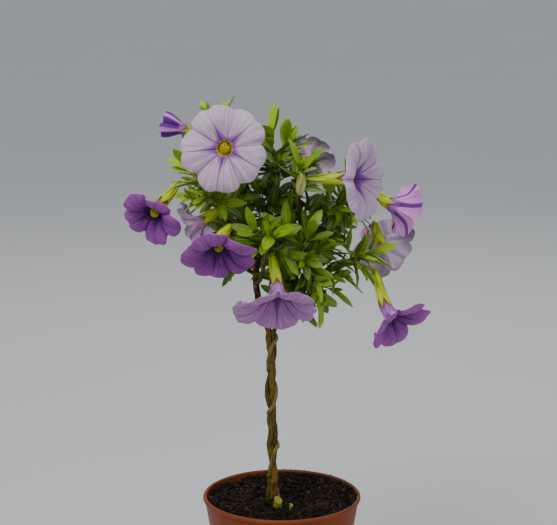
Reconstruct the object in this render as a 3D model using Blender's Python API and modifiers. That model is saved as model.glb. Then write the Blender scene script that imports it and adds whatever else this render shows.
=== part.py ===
"""A flowering standard in a nursery pot.

Three stems plaited together stand in a filled pot and part into boughs. Each bough carries one mass of
foliage: twigs that branch from one stem, folded leaves set round them in a spiral, and five-lobed trumpet
flowers on stalks of their own. Tables give millimetres. The model is in metres, +Z up, with its origin at
the centre of the pot's flat underside and its front towards -Y.
"""

import math
import random
from collections import namedtuple

import bmesh
import bpy
from mathutils import Matrix, Vector, noise
from mathutils.bvhtree import BVHTree

MM = 0.001
GAP = 0.3 * MM
UP = Vector((0.0, 0.0, 1.0))
GOLDEN_ANGLE = math.radians(137.5)
MERGE = 0.00005
ALONG_Y = Vector((0.0, 1.0, 0.0))
SIDE_HINT = Vector((0.31, 0.87, 0.38))

# Pot and soil
POT_RIM_RADIUS = 52.5 * MM
POT_HEIGHT = 92.0 * MM
POT_BASE_RADIUS = 36.5 * MM
POT_WALL = 1.3 * MM
POT_FLOOR = 2.0 * MM
POT_FOOT_BEVEL = 1.5 * MM
LIP_OVERHANG = 1.3 * MM
LIP_HEIGHT = 3.2 * MM
LIP_ARC = (180, 90, 30, -45)
POT_SIDES = 32
POT_CREASE = math.radians(35.0)
DRAIN_COUNT = 6
DRAIN_RADIUS = 3.2 * MM
DRAIN_RING = 25.0 * MM
DRAIN_TURN = math.radians(14.0)
DRAIN_SIDES = 8
SOIL_TOP = 88.0 * MM
SOIL_EDGE_DROP = 1.2 * MM
SOIL_RINGS = 4
SOIL_CALM_RADIUS = 17.0 * MM
SOIL_ROUGHNESS = 0.9 * MM
SOIL_GRAIN = 150.0
SOIL_SMOOTH_EDGE = 0.98

# Plait: one thick stem, with a second and a third wound round it in opposite directions
PLAIT_FOOT = Vector((-5.8, 1.0)) * MM
PLAIT_HEAD = Vector((-7.0, 0.0)) * MM
PLAIT_TOP = 203.0 * MM
PLAIT_BALANCE = 0.22
MAIN_RADIUS = (2.1 * MM, 1.8 * MM)
SECOND_RADIUS = (1.45 * MM, 1.3 * MM)
THIRD_RADIUS = (1.15 * MM, 1.0 * MM)
SECOND_PITCH = -68.8 * MM
SECOND_IN_FRONT = 146.0 * MM
THIRD_PITCH = 37.4 * MM
THIRD_IN_FRONT = 116.0 * MM
PLAIT_CLEARANCE = 0.45 * MM
CROSSING_CLEARANCE = 0.85 * MM
CROSSING_WIDTH = math.radians(100.0)
MAIN_STEP = 6.4 * MM
THIRD_STEP = 3.2 * MM
ROOT_FLARE = 1.3
ROOT_FLARE_HEIGHT = 7.0 * MM
CUT_RISE = 1.5 * MM
HEAD_STEP = 5.0 * MM

STEM_HEADS = {
    "stem_main": ((-12.5, 0.0, 216), (-16.5, 0.0, 232), (-16.5, 0.5, 247), (-13.5, 1.0, 262)),
    "stem_second": ((-2.0, -2.0, 214), (4.0, -1.0, 228), (10.0, 1.0, 242), (13.0, 3.0, 257)),
    "stem_third": ((-2.5, 6.0, 214), (0.0, 12.0, 227), (0.5, 18.0, 242), (-1.0, 23.0, 258)),
}

# Cut stubs at the foot of the plait: place on the soil, radius, height, lean
STUB_SIDES = 8
STUB_TAPER = 0.85
STUB_SLANT = 0.45
STUBS = {
    "stub_large": ((-3.0, -15.0), 2.8, 5.6, (0.10, -0.20)),
    "stub_small": ((5.4, -17.0), 1.2, 2.6, (0.25, -0.20)),
}

# Boughs: the stem each leaves, the height where it leaves (0 for the stem's own tip), and its far end
BOUGH_RADIUS = (1.15 * MM, 0.85 * MM)
BOUGH_POINTS = 7
BOUGH_HANDLES = (0.35, 0.30)
BOUGH_LIFT = 0.4
BOUGHS = {
    "bough_front": ("stem_main", 238, (-11, -27, 256)),
    "bough_left": ("stem_main", 251, (-38, -10, 284)),
    "bough_top_left": ("stem_main", 257, (-29, -2, 302)),
    "bough_top": ("stem_main", 0, (-7, -1, 295)),
    "bough_back_left": ("stem_main", 244, (-34, 24, 276)),
    "bough_top_right": ("stem_second", 0, (10, -9, 287)),
    "bough_upper_right": ("stem_second", 250, (31, 3, 279)),
    "bough_right": ("stem_second", 236, (33, -4, 250)),
    "bough_inner": ("stem_second", 227, (9, -17, 247)),
    "bough_low": ("stem_second", 218, (13, -7, 232)),
    "bough_back_top": ("stem_third", 0, (-3, 22, 290)),
    "bough_back_right": ("stem_third", 249, (27, 28, 270)),
    "bough_back": ("stem_third", 237, (-5, 38, 249)),
}

# Foliage: the bough a mass sits on, the hub its twigs part from, the tips of its leading shoots with the
# length of their leaves, and how many lesser shoots fill it, with their reach
TWIG_RADIUS = (1.0 * MM, 0.8 * MM)
TWIG_POINTS = 3
TWIG_HANDLE = 0.3
FILL_SPREAD = 0.95
FILL_LEAF = (15.0 * MM, 21.0 * MM)
STALK_RADIUS = 0.7 * MM
MASS_STEM_SIDES = 4
TWIG_SIDES = 3
LIMB_SIDES = 6
LIMB_CREASE = math.radians(60.0)
Mass = namedtuple("Mass", "bough hub shoots fill reach")
MASSES = {
    "foliage_front": Mass("bough_front", (-10, -32, 270), (
        ((4, -41, 263), 20), ((-17, -44, 279), 21), ((-6, -47, 277), 26)), 1, 18),
    "foliage_left": Mass("bough_left", (-46, -19, 292), (
        ((-63, -17, 319), 20), ((-60, -25, 297), 14), ((-37, -27, 293), 20), ((-49, -26, 288), 20)), 1, 18),
    "foliage_top_left": Mass("bough_top_left", (-34, -5, 314), (
        ((-50, 0, 350), 14), ((-35, 4, 351), 14), ((-21, -6, 333), 18)), 2, 20),
    "foliage_top": Mass("bough_top", (-4, -4, 306), (
        ((-8, -11, 336), 26), ((3, -8, 333), 24), ((-13, -12, 320), 17)), 1, 20),
    "foliage_top_right": Mass("bough_top_right", (9, -15, 297), (
        ((11, -25, 317), 24), ((19, -12, 318), 18)), 1, 16),
    "foliage_upper_right": Mass("bough_upper_right", (35, 1, 287), (
        ((45, -8, 295), 18), ((42, 4, 306), 16), ((36, -11, 288), 18), ((54, 4, 296), 14)), 1, 18),
    "foliage_right": Mass("bough_right", (46, -7, 252), (
        ((60, -10, 258), 22), ((50, -12, 258), 18), ((40, -2, 262), 16)), 1, 18),
    "foliage_inner": Mass("bough_inner", (12, -21, 258), (
        ((0, -28, 280), 22), ((17, -27, 274), 22), ((26, -20, 264), 22), ((14, -32, 258), 18)), 2, 20),
    "foliage_low": Mass("bough_low", (18, -10, 238), (
        ((23, -16, 230), 22), ((33, -9, 243), 19), ((13, -16, 230), 18), ((25, 3, 232), 18)), 2, 18),
    "foliage_back_left": Mass("bough_back_left", (-42, 32, 284), (
        ((-56, 36, 302), 18), ((-30, 40, 308), 18), ((-58, 28, 286), 18)), 2, 24),
    "foliage_back": Mass("bough_back", (-7, 46, 256), (
        ((-22, 52, 264), 18), ((8, 54, 268), 18), ((-4, 50, 242), 20)), 3, 22),
    "foliage_back_right": Mass("bough_back_right", (35, 34, 279), (
        ((50, 36, 296), 18), ((30, 44, 292), 18), ((52, 30, 276), 18)), 2, 24),
    "foliage_back_top": Mass("bough_back_top", (-4, 24, 302), (
        ((-10, 26, 326), 18), ((6, 22, 324), 18), ((-20, 28, 318), 18)), 3, 22),
}

# Flowers: the mass each grows from, the seat of its calyx, the centre of its open mouth, the way it faces,
# the reach of its lobes, how far they lean forward of flat (degrees) and the turn of the first lobe (degrees)
Flower = namedtuple("Flower", "mass seat mouth face reach cup turn")
FLOWERS = {
    "flower_top_left": Flower(
        "foliage_top_left", (-33, -29, 322), (-35, -52, 332), (-0.03, -0.985, 0.16), 27, 3, -12),
    "flower_half_open": Flower(
        "foliage_top_left", (-56, -2, 335), (-64, -4, 338), (-0.96, 0.18, 0.2), 17, 60, 3),
    "flower_left": Flower(
        "foliage_left", (-66, -13, 304), (-80, -30, 288), (-0.42, -0.78, -0.46), 22, 32, 0),
    "flower_left_low": Flower(
        "foliage_left", (-39, -13, 288), (-53, -8, 277), (-0.82, 0.1, -0.56), 19, 33, 0),
    "flower_front_left": Flower(
        "foliage_front", (-33, -38, 281), (-39, -57, 271), (0.03, -0.69, -0.72), 26, 30, 57),
    "flower_front": Flower(
        "foliage_front", (-6, -38, 262), (-3, -48, 240), (0.03, -0.59, -0.8), 30, 33, 0),
    "flower_top_right": Flower(
        "foliage_top_right", (17, -26, 309), (46, -34, 310), (0.87, -0.48, 0.05), 28, 18, 10),
    "flower_far_right": Flower(
        "foliage_upper_right", (60, 1, 296), (72, 6, 286.5), (0.8, 0.42, -0.32), 23, 44, 36),
    "flower_right_back": Flower(
        "foliage_right", (60, 8, 274), (67, 20, 258), (0.58, 0.62, -0.52), 22, 32, 0),
    "flower_right_low": Flower(
        "foliage_right", (60, -12, 247), (70, -19, 219), (0.5, -0.54, -0.68), 25, 33, 30),
    "flower_back_top": Flower(
        "foliage_back_top", (14, 30, 305), (18, 46, 312), (0.2, 0.84, 0.5), 18, 12, 0),
    "flower_back_left": Flower(
        "foliage_back_left", (-35, 44, 305), (-38, 60, 305), (-0.12, 0.98, -0.1), 24, 12, 0),
    "flower_side_left": Flower(
        "foliage_back_left", (-44, 24, 318), (-47, 38, 325), (-0.3, 0.78, 0.55), 20, 26, 18),
    "flower_back_low": Flower(
        "foliage_back", (-3, 50, 230), (6, 58, 211), (0.05, 0.56, -0.83), 18, 32, 0),
    "flower_back": Flower(
        "foliage_back", (-31, 50, 256), (-38, 66, 252), (-0.3, 0.93, -0.2), 22, 14, 24),
    "flower_back_right": Flower(
        "foliage_back_right", (59, 51, 260), (66, 66, 246), (0.5, 0.74, -0.45), 22, 24, 0),
}
LOBES = 5
POINTS_PER_LOBE = 3
LOBE_OUTLINE = (0.83, 1.0, 1.0)
AXIS_POINTS = 7
LINE_END = 0.9999
STEEP = 0.9
AXIS_HANDLES = (0.30, 0.45)
THROAT_RADIUS = 4.2 * MM
THROAT_OUTSIDE = 1.15
THROAT_DEPTH = 7.0 * MM
PETAL_THICKNESS = 0.7 * MM
LOBE_MIDDLE = 0.55
LOBE_ARCH = math.radians(9.0)
# The calyx grips the foot of the tube; its five tips reach further along the tube than the notches between
CALYX_FOOT_RADIUS = 1.5 * MM
CALYX_RIM_RADIUS = 3.9 * MM
CALYX_TIP = 0.60
CALYX_NOTCH = 0.36
TUBE_START = 0.34
TUBE_RADIUS = 2.1 * MM
FULL_REACH = 20.0 * MM

# Bud: a closed spindle that hangs from a shoot
BUD_MASS = "foliage_top_right"
BUD_TOP = (12, -25, 313)
BUD_LENGTH = 15.0 * MM
BUD_RADIUS = 4.2 * MM
BUD_HANGS = Vector((-0.05, -0.12, -1.0)).normalized()
BUD_SHAPE = ((0.0, 0.3), (0.3, 0.95), (0.6, 1.0), (0.88, 0.5))
BUD_SIDES = 6
BUD_SEAT_DEPTH = 1.5 * MM

# Leaves
LEAF_WIDTH = 0.42
LEAF_KEEL = 0.036
LEAF_ROOT = (0.0, 0.10)
LEAF_BELLY = (0.42, 1.0)
LEAF_SHOULDER = (0.80, 0.72)
SHORT_LEAF = 15.0 * MM
LEAF_CLEARANCE = 0.5 * MM
LEAF_FREE = (0.12, 0.45)
LEAF_ERECT = math.radians(26.0)
LEAF_SPREADING = math.radians(68.0)
LEAF_DROOP = 0.16
LEAVES_PER_SHOOT = 5
LEAF_REACH = (0.30, 0.93)
LEAF_TRIES = 4
LEAF_TIP_LOSS = 0.18
SUNWARD = 0.7
LEAF_CROWDING = 0.8
LEAF_SIZES = (0.85, 1.1)
TRY_TURN = 0.45
TRY_SHRINK = 0.1

Leaf = namedtuple("Leaf", "root along facing length width droop")
Limb = namedtuple("Limb", "points radii")
Solid = namedtuple("Solid", "verts faces green_faces")

COLOURS = {
    "pot": (0.42, 0.10, 0.035, 0.45),
    "soil": (0.020, 0.013, 0.010, 0.95),
    "stem": (0.22, 0.12, 0.035, 0.75),
    "stub": (0.30, 0.33, 0.05, 0.6),
    "bough": (0.12, 0.13, 0.03, 0.7),
    "leaf": (0.14, 0.30, 0.03, 0.5),
    "petal": (0.40, 0.24, 0.60, 0.55),
}


def clear_scene():
    for item in list(bpy.data.objects):
        bpy.data.objects.remove(item, do_unlink=True)


def new_collection(name):
    collection = bpy.data.collections.new(name)
    bpy.context.scene.collection.children.link(collection)
    return collection


def material(name, colour):
    red, green, blue, roughness = COLOURS[colour]
    made = bpy.data.materials.new(name)
    made.use_nodes = True
    shader = made.node_tree.nodes["Principled BSDF"]
    shader.inputs["Base Color"].default_value = (red, green, blue, 1.0)
    shader.inputs["Roughness"].default_value = roughness
    shader.inputs["Metallic"].default_value = 0.0
    return made


def add_object(name, data, collection):
    made = bpy.data.objects.new(name, data)
    collection.objects.link(made)
    return made


def millimetres(values):
    return Vector(values) * MM


def apply_modifiers(item):
    """Gives the object the mesh that its modifiers make."""
    graph = bpy.context.evaluated_depsgraph_get()
    mesh = bpy.data.meshes.new_from_object(item.evaluated_get(graph))
    item.modifiers.clear()
    item.data = mesh


# ---------------------------------------------------------------- pot and soil


def turned(name, profile, collection):
    """A solid of revolution: the profile runs from the axis over the top and down the outer side."""
    mesh = bpy.data.meshes.new(name)
    points = [(radius, 0.0, height) for radius, height in profile]
    mesh.from_pydata(points, [(i, i + 1) for i in range(len(points) - 1)], [])
    made = add_object(name, mesh, collection)
    screw = made.modifiers.new("turn", "SCREW")
    screw.steps = POT_SIDES
    screw.render_steps = POT_SIDES
    screw.use_merge_vertices = True
    screw.merge_threshold = MERGE
    return made


def inner_radius(height):
    """Radius of the pot's inner wall."""
    top = POT_RIM_RADIUS - LIP_OVERHANG - POT_WALL
    bottom = POT_BASE_RADIUS - POT_WALL
    share = (height - POT_FLOOR) / (POT_HEIGHT - LIP_HEIGHT - POT_FLOOR)
    return bottom + (top - bottom) * min(share, 1.0)


def build_pot(parts, cutters):
    wall_top = POT_HEIGHT - LIP_HEIGHT
    wall_radius = POT_RIM_RADIUS - LIP_OVERHANG
    bead = LIP_HEIGHT / 2.0
    profile = [
        (0.0, POT_FLOOR),
        (inner_radius(POT_FLOOR), POT_FLOOR),
        (inner_radius(wall_top), wall_top),
    ]
    for turn in (math.radians(degrees) for degrees in LIP_ARC):
        out = 0.5 * (1.0 + math.cos(turn))
        profile.append((
            inner_radius(wall_top) + (POT_RIM_RADIUS - inner_radius(wall_top)) * out,
            wall_top + bead * (1.0 + math.sin(turn))))
    profile += [
        (wall_radius, wall_top),
        (POT_BASE_RADIUS, POT_FOOT_BEVEL),
        (POT_BASE_RADIUS - POT_FOOT_BEVEL, 0.0),
        (0.0, 0.0),
    ]
    pot = turned("pot", profile, parts)
    for index in range(DRAIN_COUNT):
        angle = DRAIN_TURN + 2.0 * math.pi * index / DRAIN_COUNT
        place = (DRAIN_RING * math.cos(angle), DRAIN_RING * math.sin(angle), POT_FLOOR / 2.0)
        bpy.ops.mesh.primitive_cylinder_add(
            vertices=DRAIN_SIDES, radius=DRAIN_RADIUS, depth=3.0 * POT_FLOOR, location=place)
        drill = bpy.context.object
        drill.name = f"drain_cutter_{index + 1}"
        drill.hide_render = True
        drill.display_type = "WIRE"
        for old in list(drill.users_collection):
            old.objects.unlink(drill)
        cutters.objects.link(drill)
        cut = pot.modifiers.new(f"drain_{index + 1}", "BOOLEAN")
        cut.operation = "DIFFERENCE"
        cut.solver = "EXACT"
        cut.object = drill
    apply_modifiers(pot)
    pot.data.shade_smooth()
    pot.data.set_sharp_from_angle(angle=POT_CREASE)
    pot.data.materials.append(material("pot_plastic", "pot"))


def build_soil(parts):
    """The root ball and its rough top, calm where the stems stand."""
    edge = SOIL_TOP - SOIL_EDGE_DROP
    edge_radius = inner_radius(edge) - GAP
    profile = [(0.0, SOIL_TOP)]
    for ring in range(1, SOIL_RINGS + 1):
        share = ring / SOIL_RINGS
        profile.append((edge_radius * share, SOIL_TOP - SOIL_EDGE_DROP * share ** 2))
    floor = POT_FLOOR + GAP
    profile += [(inner_radius(floor) - GAP, floor), (0.0, floor)]
    soil = turned("soil", profile, parts)
    apply_modifiers(soil)
    for vertex in soil.data.vertices:
        radius = vertex.co.xy.length
        if vertex.co.z < edge - GAP or not SOIL_CALM_RADIUS < radius < SOIL_SMOOTH_EDGE * edge_radius:
            continue
        vertex.co.z += SOIL_ROUGHNESS * noise.noise(vertex.co * SOIL_GRAIN)
    soil.data.materials.append(material("potting_soil", "soil"))


# ---------------------------------------------------------------- paths


def smooth_line(knots, step):
    """Points about one step apart on a Catmull-Rom curve through the knots."""
    knots = [Vector(knot) for knot in knots]
    ends = [2.0 * knots[0] - knots[1]] + knots + [2.0 * knots[-1] - knots[-2]]
    line = [knots[0]]
    for before, start, end, after in zip(ends, ends[1:], ends[2:], ends[3:]):
        count = max(1, round((end - start).length / step))
        for index in range(1, count + 1):
            t = index / count
            line.append(0.5 * (
                2.0 * start + (end - before) * t
                + (2.0 * before - 5.0 * start + 4.0 * end - after) * t ** 2
                + (3.0 * start - before - 3.0 * end + after) * t ** 3))
    return line


def bezier_line(start, leave, arrive, end, count):
    """Points on the cubic curve with the two handles leave and arrive."""
    line = []
    for index in range(count):
        t = index / (count - 1)
        s = 1.0 - t
        line.append(s ** 3 * start + 3.0 * s * s * t * leave + 3.0 * s * t * t * arrive + t ** 3 * end)
    return line


def tapered(points, thick, thin):
    """A limb along the points, its radius falling evenly from one end to the other."""
    last = len(points) - 1
    return Limb(points, [thick + (thin - thick) * index / last for index in range(last + 1)])


def point_at_height(limb, height):
    """Place, direction and radius of a limb where it passes a height."""
    index = min(range(1, len(limb.points) - 1), key=lambda i: abs(limb.points[i].z - height))
    direction = (limb.points[index + 1] - limb.points[index - 1]).normalized()
    return limb.points[index], direction, limb.radii[index]


def across(direction, hint):
    """The part of hint that is square to direction, as a unit vector."""
    return (hint - direction * hint.dot(direction)).normalized()


# ---------------------------------------------------------------- stems and boughs


def compass(angle):
    return Vector((math.cos(angle), math.sin(angle)))


def winding(height, pitch, front_height):
    """Angle of a wound stem; it stands in front of the plait at front_height."""
    return -math.pi / 2.0 + 2.0 * math.pi * (height - front_height) / pitch


def root_flare(height):
    """How much thicker the main stem is at a height near the soil."""
    rise = (height - SOIL_TOP) / ROOT_FLARE_HEIGHT
    return 1.0 + (ROOT_FLARE - 1.0) * max(0.0, 1.0 - rise)


def plait_places(height):
    """Centres of the main, second and third stem at a height; the third passes over the second."""
    share = (height - SOIL_TOP) / (PLAIT_TOP - SOIL_TOP)
    axis = PLAIT_FOOT.lerp(PLAIT_HEAD, share)
    second_angle = winding(height, SECOND_PITCH, SECOND_IN_FRONT)
    third_angle = winding(height, THIRD_PITCH, THIRD_IN_FRONT)
    apart = abs(math.remainder(third_angle - second_angle, 2.0 * math.pi))
    over = math.cos(0.5 * math.pi * min(apart / CROSSING_WIDTH, 1.0)) ** 2
    flare = root_flare(height) * MAIN_RADIUS[0]
    second_reach = flare + SECOND_RADIUS[0] + PLAIT_CLEARANCE
    third_reach = flare + THIRD_RADIUS[0] + PLAIT_CLEARANCE
    third_reach += over * (2.0 * SECOND_RADIUS[0] + CROSSING_CLEARANCE)
    second = compass(second_angle) * second_reach
    third = compass(third_angle) * third_reach
    main = axis - (second + third) * PLAIT_BALANCE
    return main, main + second, main + third


def grow_stems():
    """The three stems of the plait, each from a level cut on the soil to its own tip in the crown."""
    stems = {}
    plans = (
        ("stem_main", MAIN_RADIUS, MAIN_STEP),
        ("stem_second", SECOND_RADIUS, MAIN_STEP),
        ("stem_third", THIRD_RADIUS, THIRD_STEP),
    )
    foot = SOIL_TOP + GAP
    for which, (name, (thick, thin), step) in enumerate(plans):
        upright = foot + CUT_RISE
        count = round((PLAIT_TOP - upright) / step)
        heights = [foot] + [upright + (PLAIT_TOP - upright) * index / count for index in range(count + 1)]
        points = [plait_places(height)[which].to_3d() + UP * height for height in heights]
        points[0].xy = points[1].xy
        head = smooth_line([points[-1]] + [millimetres(knot) for knot in STEM_HEADS[name]], HEAD_STEP)
        stems[name] = tapered(points + head[1:], thick, thin)
    main = stems["stem_main"]
    for index, point in enumerate(main.points):
        main.radii[index] *= root_flare(point.z)
    return stems


def grow_boughs(stems):
    """Each bough leaves its stem square to it and bends up to its far end."""
    boughs = {}
    for name, (stem_name, height, far_end) in BOUGHS.items():
        stem = stems[stem_name]
        end = millimetres(far_end)
        if height:
            place, direction, radius = point_at_height(stem, height * MM)
            outward = across(direction, end - place)
            start = place + outward * (radius + GAP)
        else:
            outward = (stem.points[-1] - stem.points[-2]).normalized()
            start = stem.points[-1] + outward * GAP
        span = (end - start).length
        arrival = ((end - start).normalized() + BOUGH_LIFT * UP).normalized()
        leave = start + outward * BOUGH_HANDLES[0] * span
        arrive = end - arrival * BOUGH_HANDLES[1] * span
        boughs[name] = tapered(bezier_line(start, leave, arrive, end, BOUGH_POINTS), *BOUGH_RADIUS)
    return boughs


def build_limb(name, limb, resolution, colour, parts):
    """A tapering tube with closed ends, as a mesh."""
    curve = bpy.data.curves.new(name, "CURVE")
    curve.dimensions = "3D"
    curve.bevel_depth = 1.0
    curve.bevel_resolution = resolution
    curve.use_fill_caps = True
    spline = curve.splines.new("POLY")
    spline.points.add(len(limb.points) - 1)
    for control, point, radius in zip(spline.points, limb.points, limb.radii):
        control.co = (*point, 1.0)
        control.radius = radius
    tube = add_object(name + "_curve", curve, parts)
    graph = bpy.context.evaluated_depsgraph_get()
    mesh = bpy.data.meshes.new_from_object(tube.evaluated_get(graph))
    place = tube.matrix_world.copy()
    bpy.data.objects.remove(tube, do_unlink=True)
    body = bmesh.new()
    body.from_mesh(mesh)
    bmesh.ops.remove_doubles(body, verts=body.verts, dist=MERGE)
    body.to_mesh(mesh)
    body.free()
    mesh.shade_smooth()
    mesh.set_sharp_from_angle(angle=LIMB_CREASE)
    mesh.materials.append(material(name + "_bark", colour))
    add_object(name, mesh, parts).matrix_world = place


def build_stub(name, parts):
    """A short stem cut off aslant just above the soil."""
    (x, y), radius, height, lean = STUBS[name]
    foot = Vector((x * MM, y * MM, SOIL_TOP + GAP))
    body = bmesh.new()
    bmesh.ops.create_cone(
        body, cap_ends=True, segments=STUB_SIDES, radius1=radius * MM, radius2=STUB_TAPER * radius * MM,
        depth=height * MM)
    for vertex in body.verts:
        vertex.co.z += 0.5 * height * MM
        if vertex.co.z > 0.5 * height * MM:
            vertex.co.z -= STUB_SLANT * vertex.co.x
            vertex.co.xy += Vector(lean) * height * MM
    mesh = bpy.data.meshes.new(name)
    body.to_mesh(mesh)
    body.free()
    mesh.materials.append(material(name + "_cut", "stub"))
    add_object(name, mesh, parts).location = foot


# ---------------------------------------------------------------- lofted solids of the foliage


def loft(rings, flat_sided=False):
    """A closed solid through rings of equally many points; the last ring may be a single point.

    Parallel rings of one shape have flat sides between them, which stay whole.
    """
    verts = [point for ring in rings for point in ring]
    size = len(rings[0])
    faces = [tuple(reversed(range(size)))]
    for index in range(len(rings) - 1):
        low = index * size
        high = low + size
        for i in range(size):
            j = (i + 1) % size
            if len(rings[index + 1]) == 1:
                faces.append((low + i, low + j, high))
            elif flat_sided:
                faces.append((low + i, low + j, high + j, high + i))
            else:
                faces.append((low + i, low + j, high + j))
                faces.append((low + i, high + j, high + i))
    if len(rings[-1]) > 1:
        faces.append(tuple(range(len(verts) - size, len(verts))))
    return Solid(verts, faces, len(faces))


def circle(centre, direction, radius, hint, sides):
    """Ring of points square to a direction, turning left-handed seen along it, so lofts face outward."""
    first = across(direction, hint)
    second = direction.cross(first)
    return [
        centre + radius * (math.cos(turn) * first + math.sin(turn) * second)
        for turn in (2.0 * math.pi * i / sides for i in range(sides))]


def tube_solid(limb, sides):
    """A tapering limb of few sides, every ring square to the line from its start to its end."""
    direction = (limb.points[-1] - limb.points[0]).normalized()
    rings = [
        circle(point, direction, radius, SIDE_HINT, sides)
        for point, radius in zip(limb.points, limb.radii)]
    return loft(rings, flat_sided=True)


def leaf_section(leaf, share, scale, grow):
    """Left edge, keel and right edge of the blade at a share of its length; all sections have one shape."""
    side = leaf.along.cross(leaf.facing)
    fall = leaf.droop * leaf.length * share ** 2
    centre = leaf.root + leaf.along * (leaf.length * share) - leaf.facing * fall
    half = (0.5 * leaf.width + grow) * scale
    keel = (LEAF_KEEL * leaf.length + grow) * scale
    lift = leaf.facing * grow
    return [centre + side * half + lift, centre - leaf.facing * keel, centre - side * half + lift]


def leaf_solid(leaf, start=LEAF_ROOT, grow=0.0):
    """A blade with a flat top and a keel below: narrow root, belly, shoulder and tip.

    start is where it begins, with its width there; grow adds room all round for clearance tests.
    """
    sections = [start, LEAF_BELLY]
    if leaf.length > SHORT_LEAF:
        sections.append(LEAF_SHOULDER)
    rings = [leaf_section(leaf, share, scale, grow) for share, scale in sections]
    tip = leaf_section(leaf, 1.0 + grow / leaf.length, 0.0, 0.0)[1]
    return loft(rings + [[tip]], flat_sided=True)


def flower_axis(flower):
    """The bent line from the calyx to the mouth, and the way the mouth faces."""
    seat = millimetres(flower.seat)
    mouth = millimetres(flower.mouth)
    face = Vector(flower.face).normalized()
    span = (mouth - seat).length
    leave, arrive = AXIS_HANDLES
    return bezier_line(seat, seat.lerp(mouth, leave), mouth - face * arrive * span, mouth, AXIS_POINTS), face


def along_line(line, share):
    """Place and direction at a share of the line."""
    place = min(share, LINE_END) * (len(line) - 1)
    low = int(place)
    return line[low].lerp(line[low + 1], place - low), (line[low + 1] - line[low]).normalized()


def flower_solid(flower):
    """Calyx, tube and lobes outside from seat to rim, then the inside of the lobes down to the throat."""
    line, face = flower_axis(flower)
    mouth = line[-1]
    count = LOBES * POINTS_PER_LOBE
    first = across(face, UP if abs(face.z) < STEEP else ALONG_Y)
    first = Matrix.Rotation(math.radians(flower.turn), 3, face) @ first
    second = face.cross(first)
    cup = math.radians(flower.cup)
    reach = flower.reach * MM
    size = min(1.0, reach / FULL_REACH)

    def tube_ring(radius, notch, tip):
        """Ring round the tube that reaches forward at the middle of each lobe."""
        ring = []
        for i in range(count):
            turn = 2.0 * math.pi * i / count
            place, direction = along_line(line, notch if i % POINTS_PER_LOBE == 0 else tip)
            sideways = across(direction, first)
            upright = direction.cross(sideways)
            ring.append(place + radius * size * (math.cos(turn) * sideways + math.sin(turn) * upright))
        return ring

    def lobe_ring(share, angle, back):
        """Ring of the five lobes, from the throat (share 0) to their rim (share 1)."""
        ring = []
        for i in range(count):
            turn = 2.0 * math.pi * i / count
            outline = reach * (1.0 + (LOBE_OUTLINE[i % POINTS_PER_LOBE] - 1.0) * share)
            throat = THROAT_RADIUS * size
            out = throat + (outline - throat) * share * math.cos(angle)
            forward = (outline - throat) * share * math.sin(angle) - back
            ring.append(mouth + (math.cos(turn) * first + math.sin(turn) * second) * out + face * forward)
        return ring

    throat, _ = along_line(line, 1.0 - THROAT_DEPTH * size / (mouth - line[0]).length)
    rings = [
        tube_ring(CALYX_FOOT_RADIUS, 0.0, 0.0),
        tube_ring(CALYX_RIM_RADIUS, CALYX_NOTCH, CALYX_TIP),
        tube_ring(TUBE_RADIUS, TUBE_START, TUBE_START),
        [mouth + (point - mouth) * THROAT_OUTSIDE for point in lobe_ring(0.0, cup, PETAL_THICKNESS)],
        lobe_ring(1.0, cup, 0.0),
        lobe_ring(LOBE_MIDDLE, cup + LOBE_ARCH, 0.0),
        lobe_ring(0.0, cup, 0.0),
        [throat],
    ]
    return loft(rings)._replace(green_faces=1 + 4 * count)


def bud_solid():
    top = millimetres(BUD_TOP)
    rings = [
        circle(top + BUD_HANGS * BUD_LENGTH * share, BUD_HANGS, BUD_RADIUS * width, ALONG_Y, BUD_SIDES)
        for share, width in BUD_SHAPE]
    return loft(rings + [[top + BUD_HANGS * BUD_LENGTH]])


# ---------------------------------------------------------------- growth of the masses


def twig_to(start, leave, end, thick, thin):
    """A twig that sets off in one direction and curves to its end."""
    span = (end - start).length
    arrive = end.lerp(start, TWIG_HANDLE)
    line = bezier_line(start, start + leave * TWIG_HANDLE * span, arrive, end, TWIG_POINTS)
    return tapered(line, thick, thin)


def grow_twigs(name, boughs, crown_centre):
    """The mass's own stem, its leading and filling shoots, and a stalk to each flower."""
    mass = MASSES[name]
    rng = random.Random(name + " twigs")
    bough = boughs[mass.bough]
    heading = (bough.points[-1] - bough.points[-2]).normalized()
    hub = millimetres(mass.hub)
    stem = twig_to(bough.points[-1] + heading * GAP, heading, hub, BOUGH_RADIUS[1], TWIG_RADIUS[0])
    shoots = []
    for tip, leaf_length in mass.shoots:
        begin = stem.points[-2].lerp(hub, rng.uniform(0.2, 0.9))
        shoots.append((twig_to(begin, heading, millimetres(tip), *TWIG_RADIUS), leaf_length * MM))
    outward = (hub - crown_centre).normalized()
    for _ in range(mass.fill):
        lean = Vector([rng.gauss(0.0, 1.0) for _ in range(3)]).normalized()
        direction = (outward + FILL_SPREAD * lean).normalized()
        tip = hub + direction * mass.reach * MM * rng.uniform(0.7, 1.0)
        begin = stem.points[-2].lerp(hub, rng.uniform(0.0, 0.6))
        shoots.append((twig_to(begin, heading, tip, *TWIG_RADIUS), rng.uniform(*FILL_LEAF)))
    stalks = []
    for flower in FLOWERS.values():
        if flower.mass == name:
            line, _ = flower_axis(flower)
            sources = [shoot.points[1] for shoot, _ in shoots] + [hub]
            source = min(sources, key=lambda point: (point - line[0]).length)
            inside = line[0].lerp(line[1], 0.5)
            stalks.append(twig_to(source, heading, inside, STALK_RADIUS, STALK_RADIUS))
    if name == BUD_MASS:
        top = millimetres(BUD_TOP)
        source = min((shoot.points[-2] for shoot, _ in shoots), key=lambda point: (point - top).length)
        stalks.append(twig_to(source, UP, top - UP * BUD_SEAT_DEPTH, STALK_RADIUS, STALK_RADIUS))
    return stem, shoots, stalks


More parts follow.
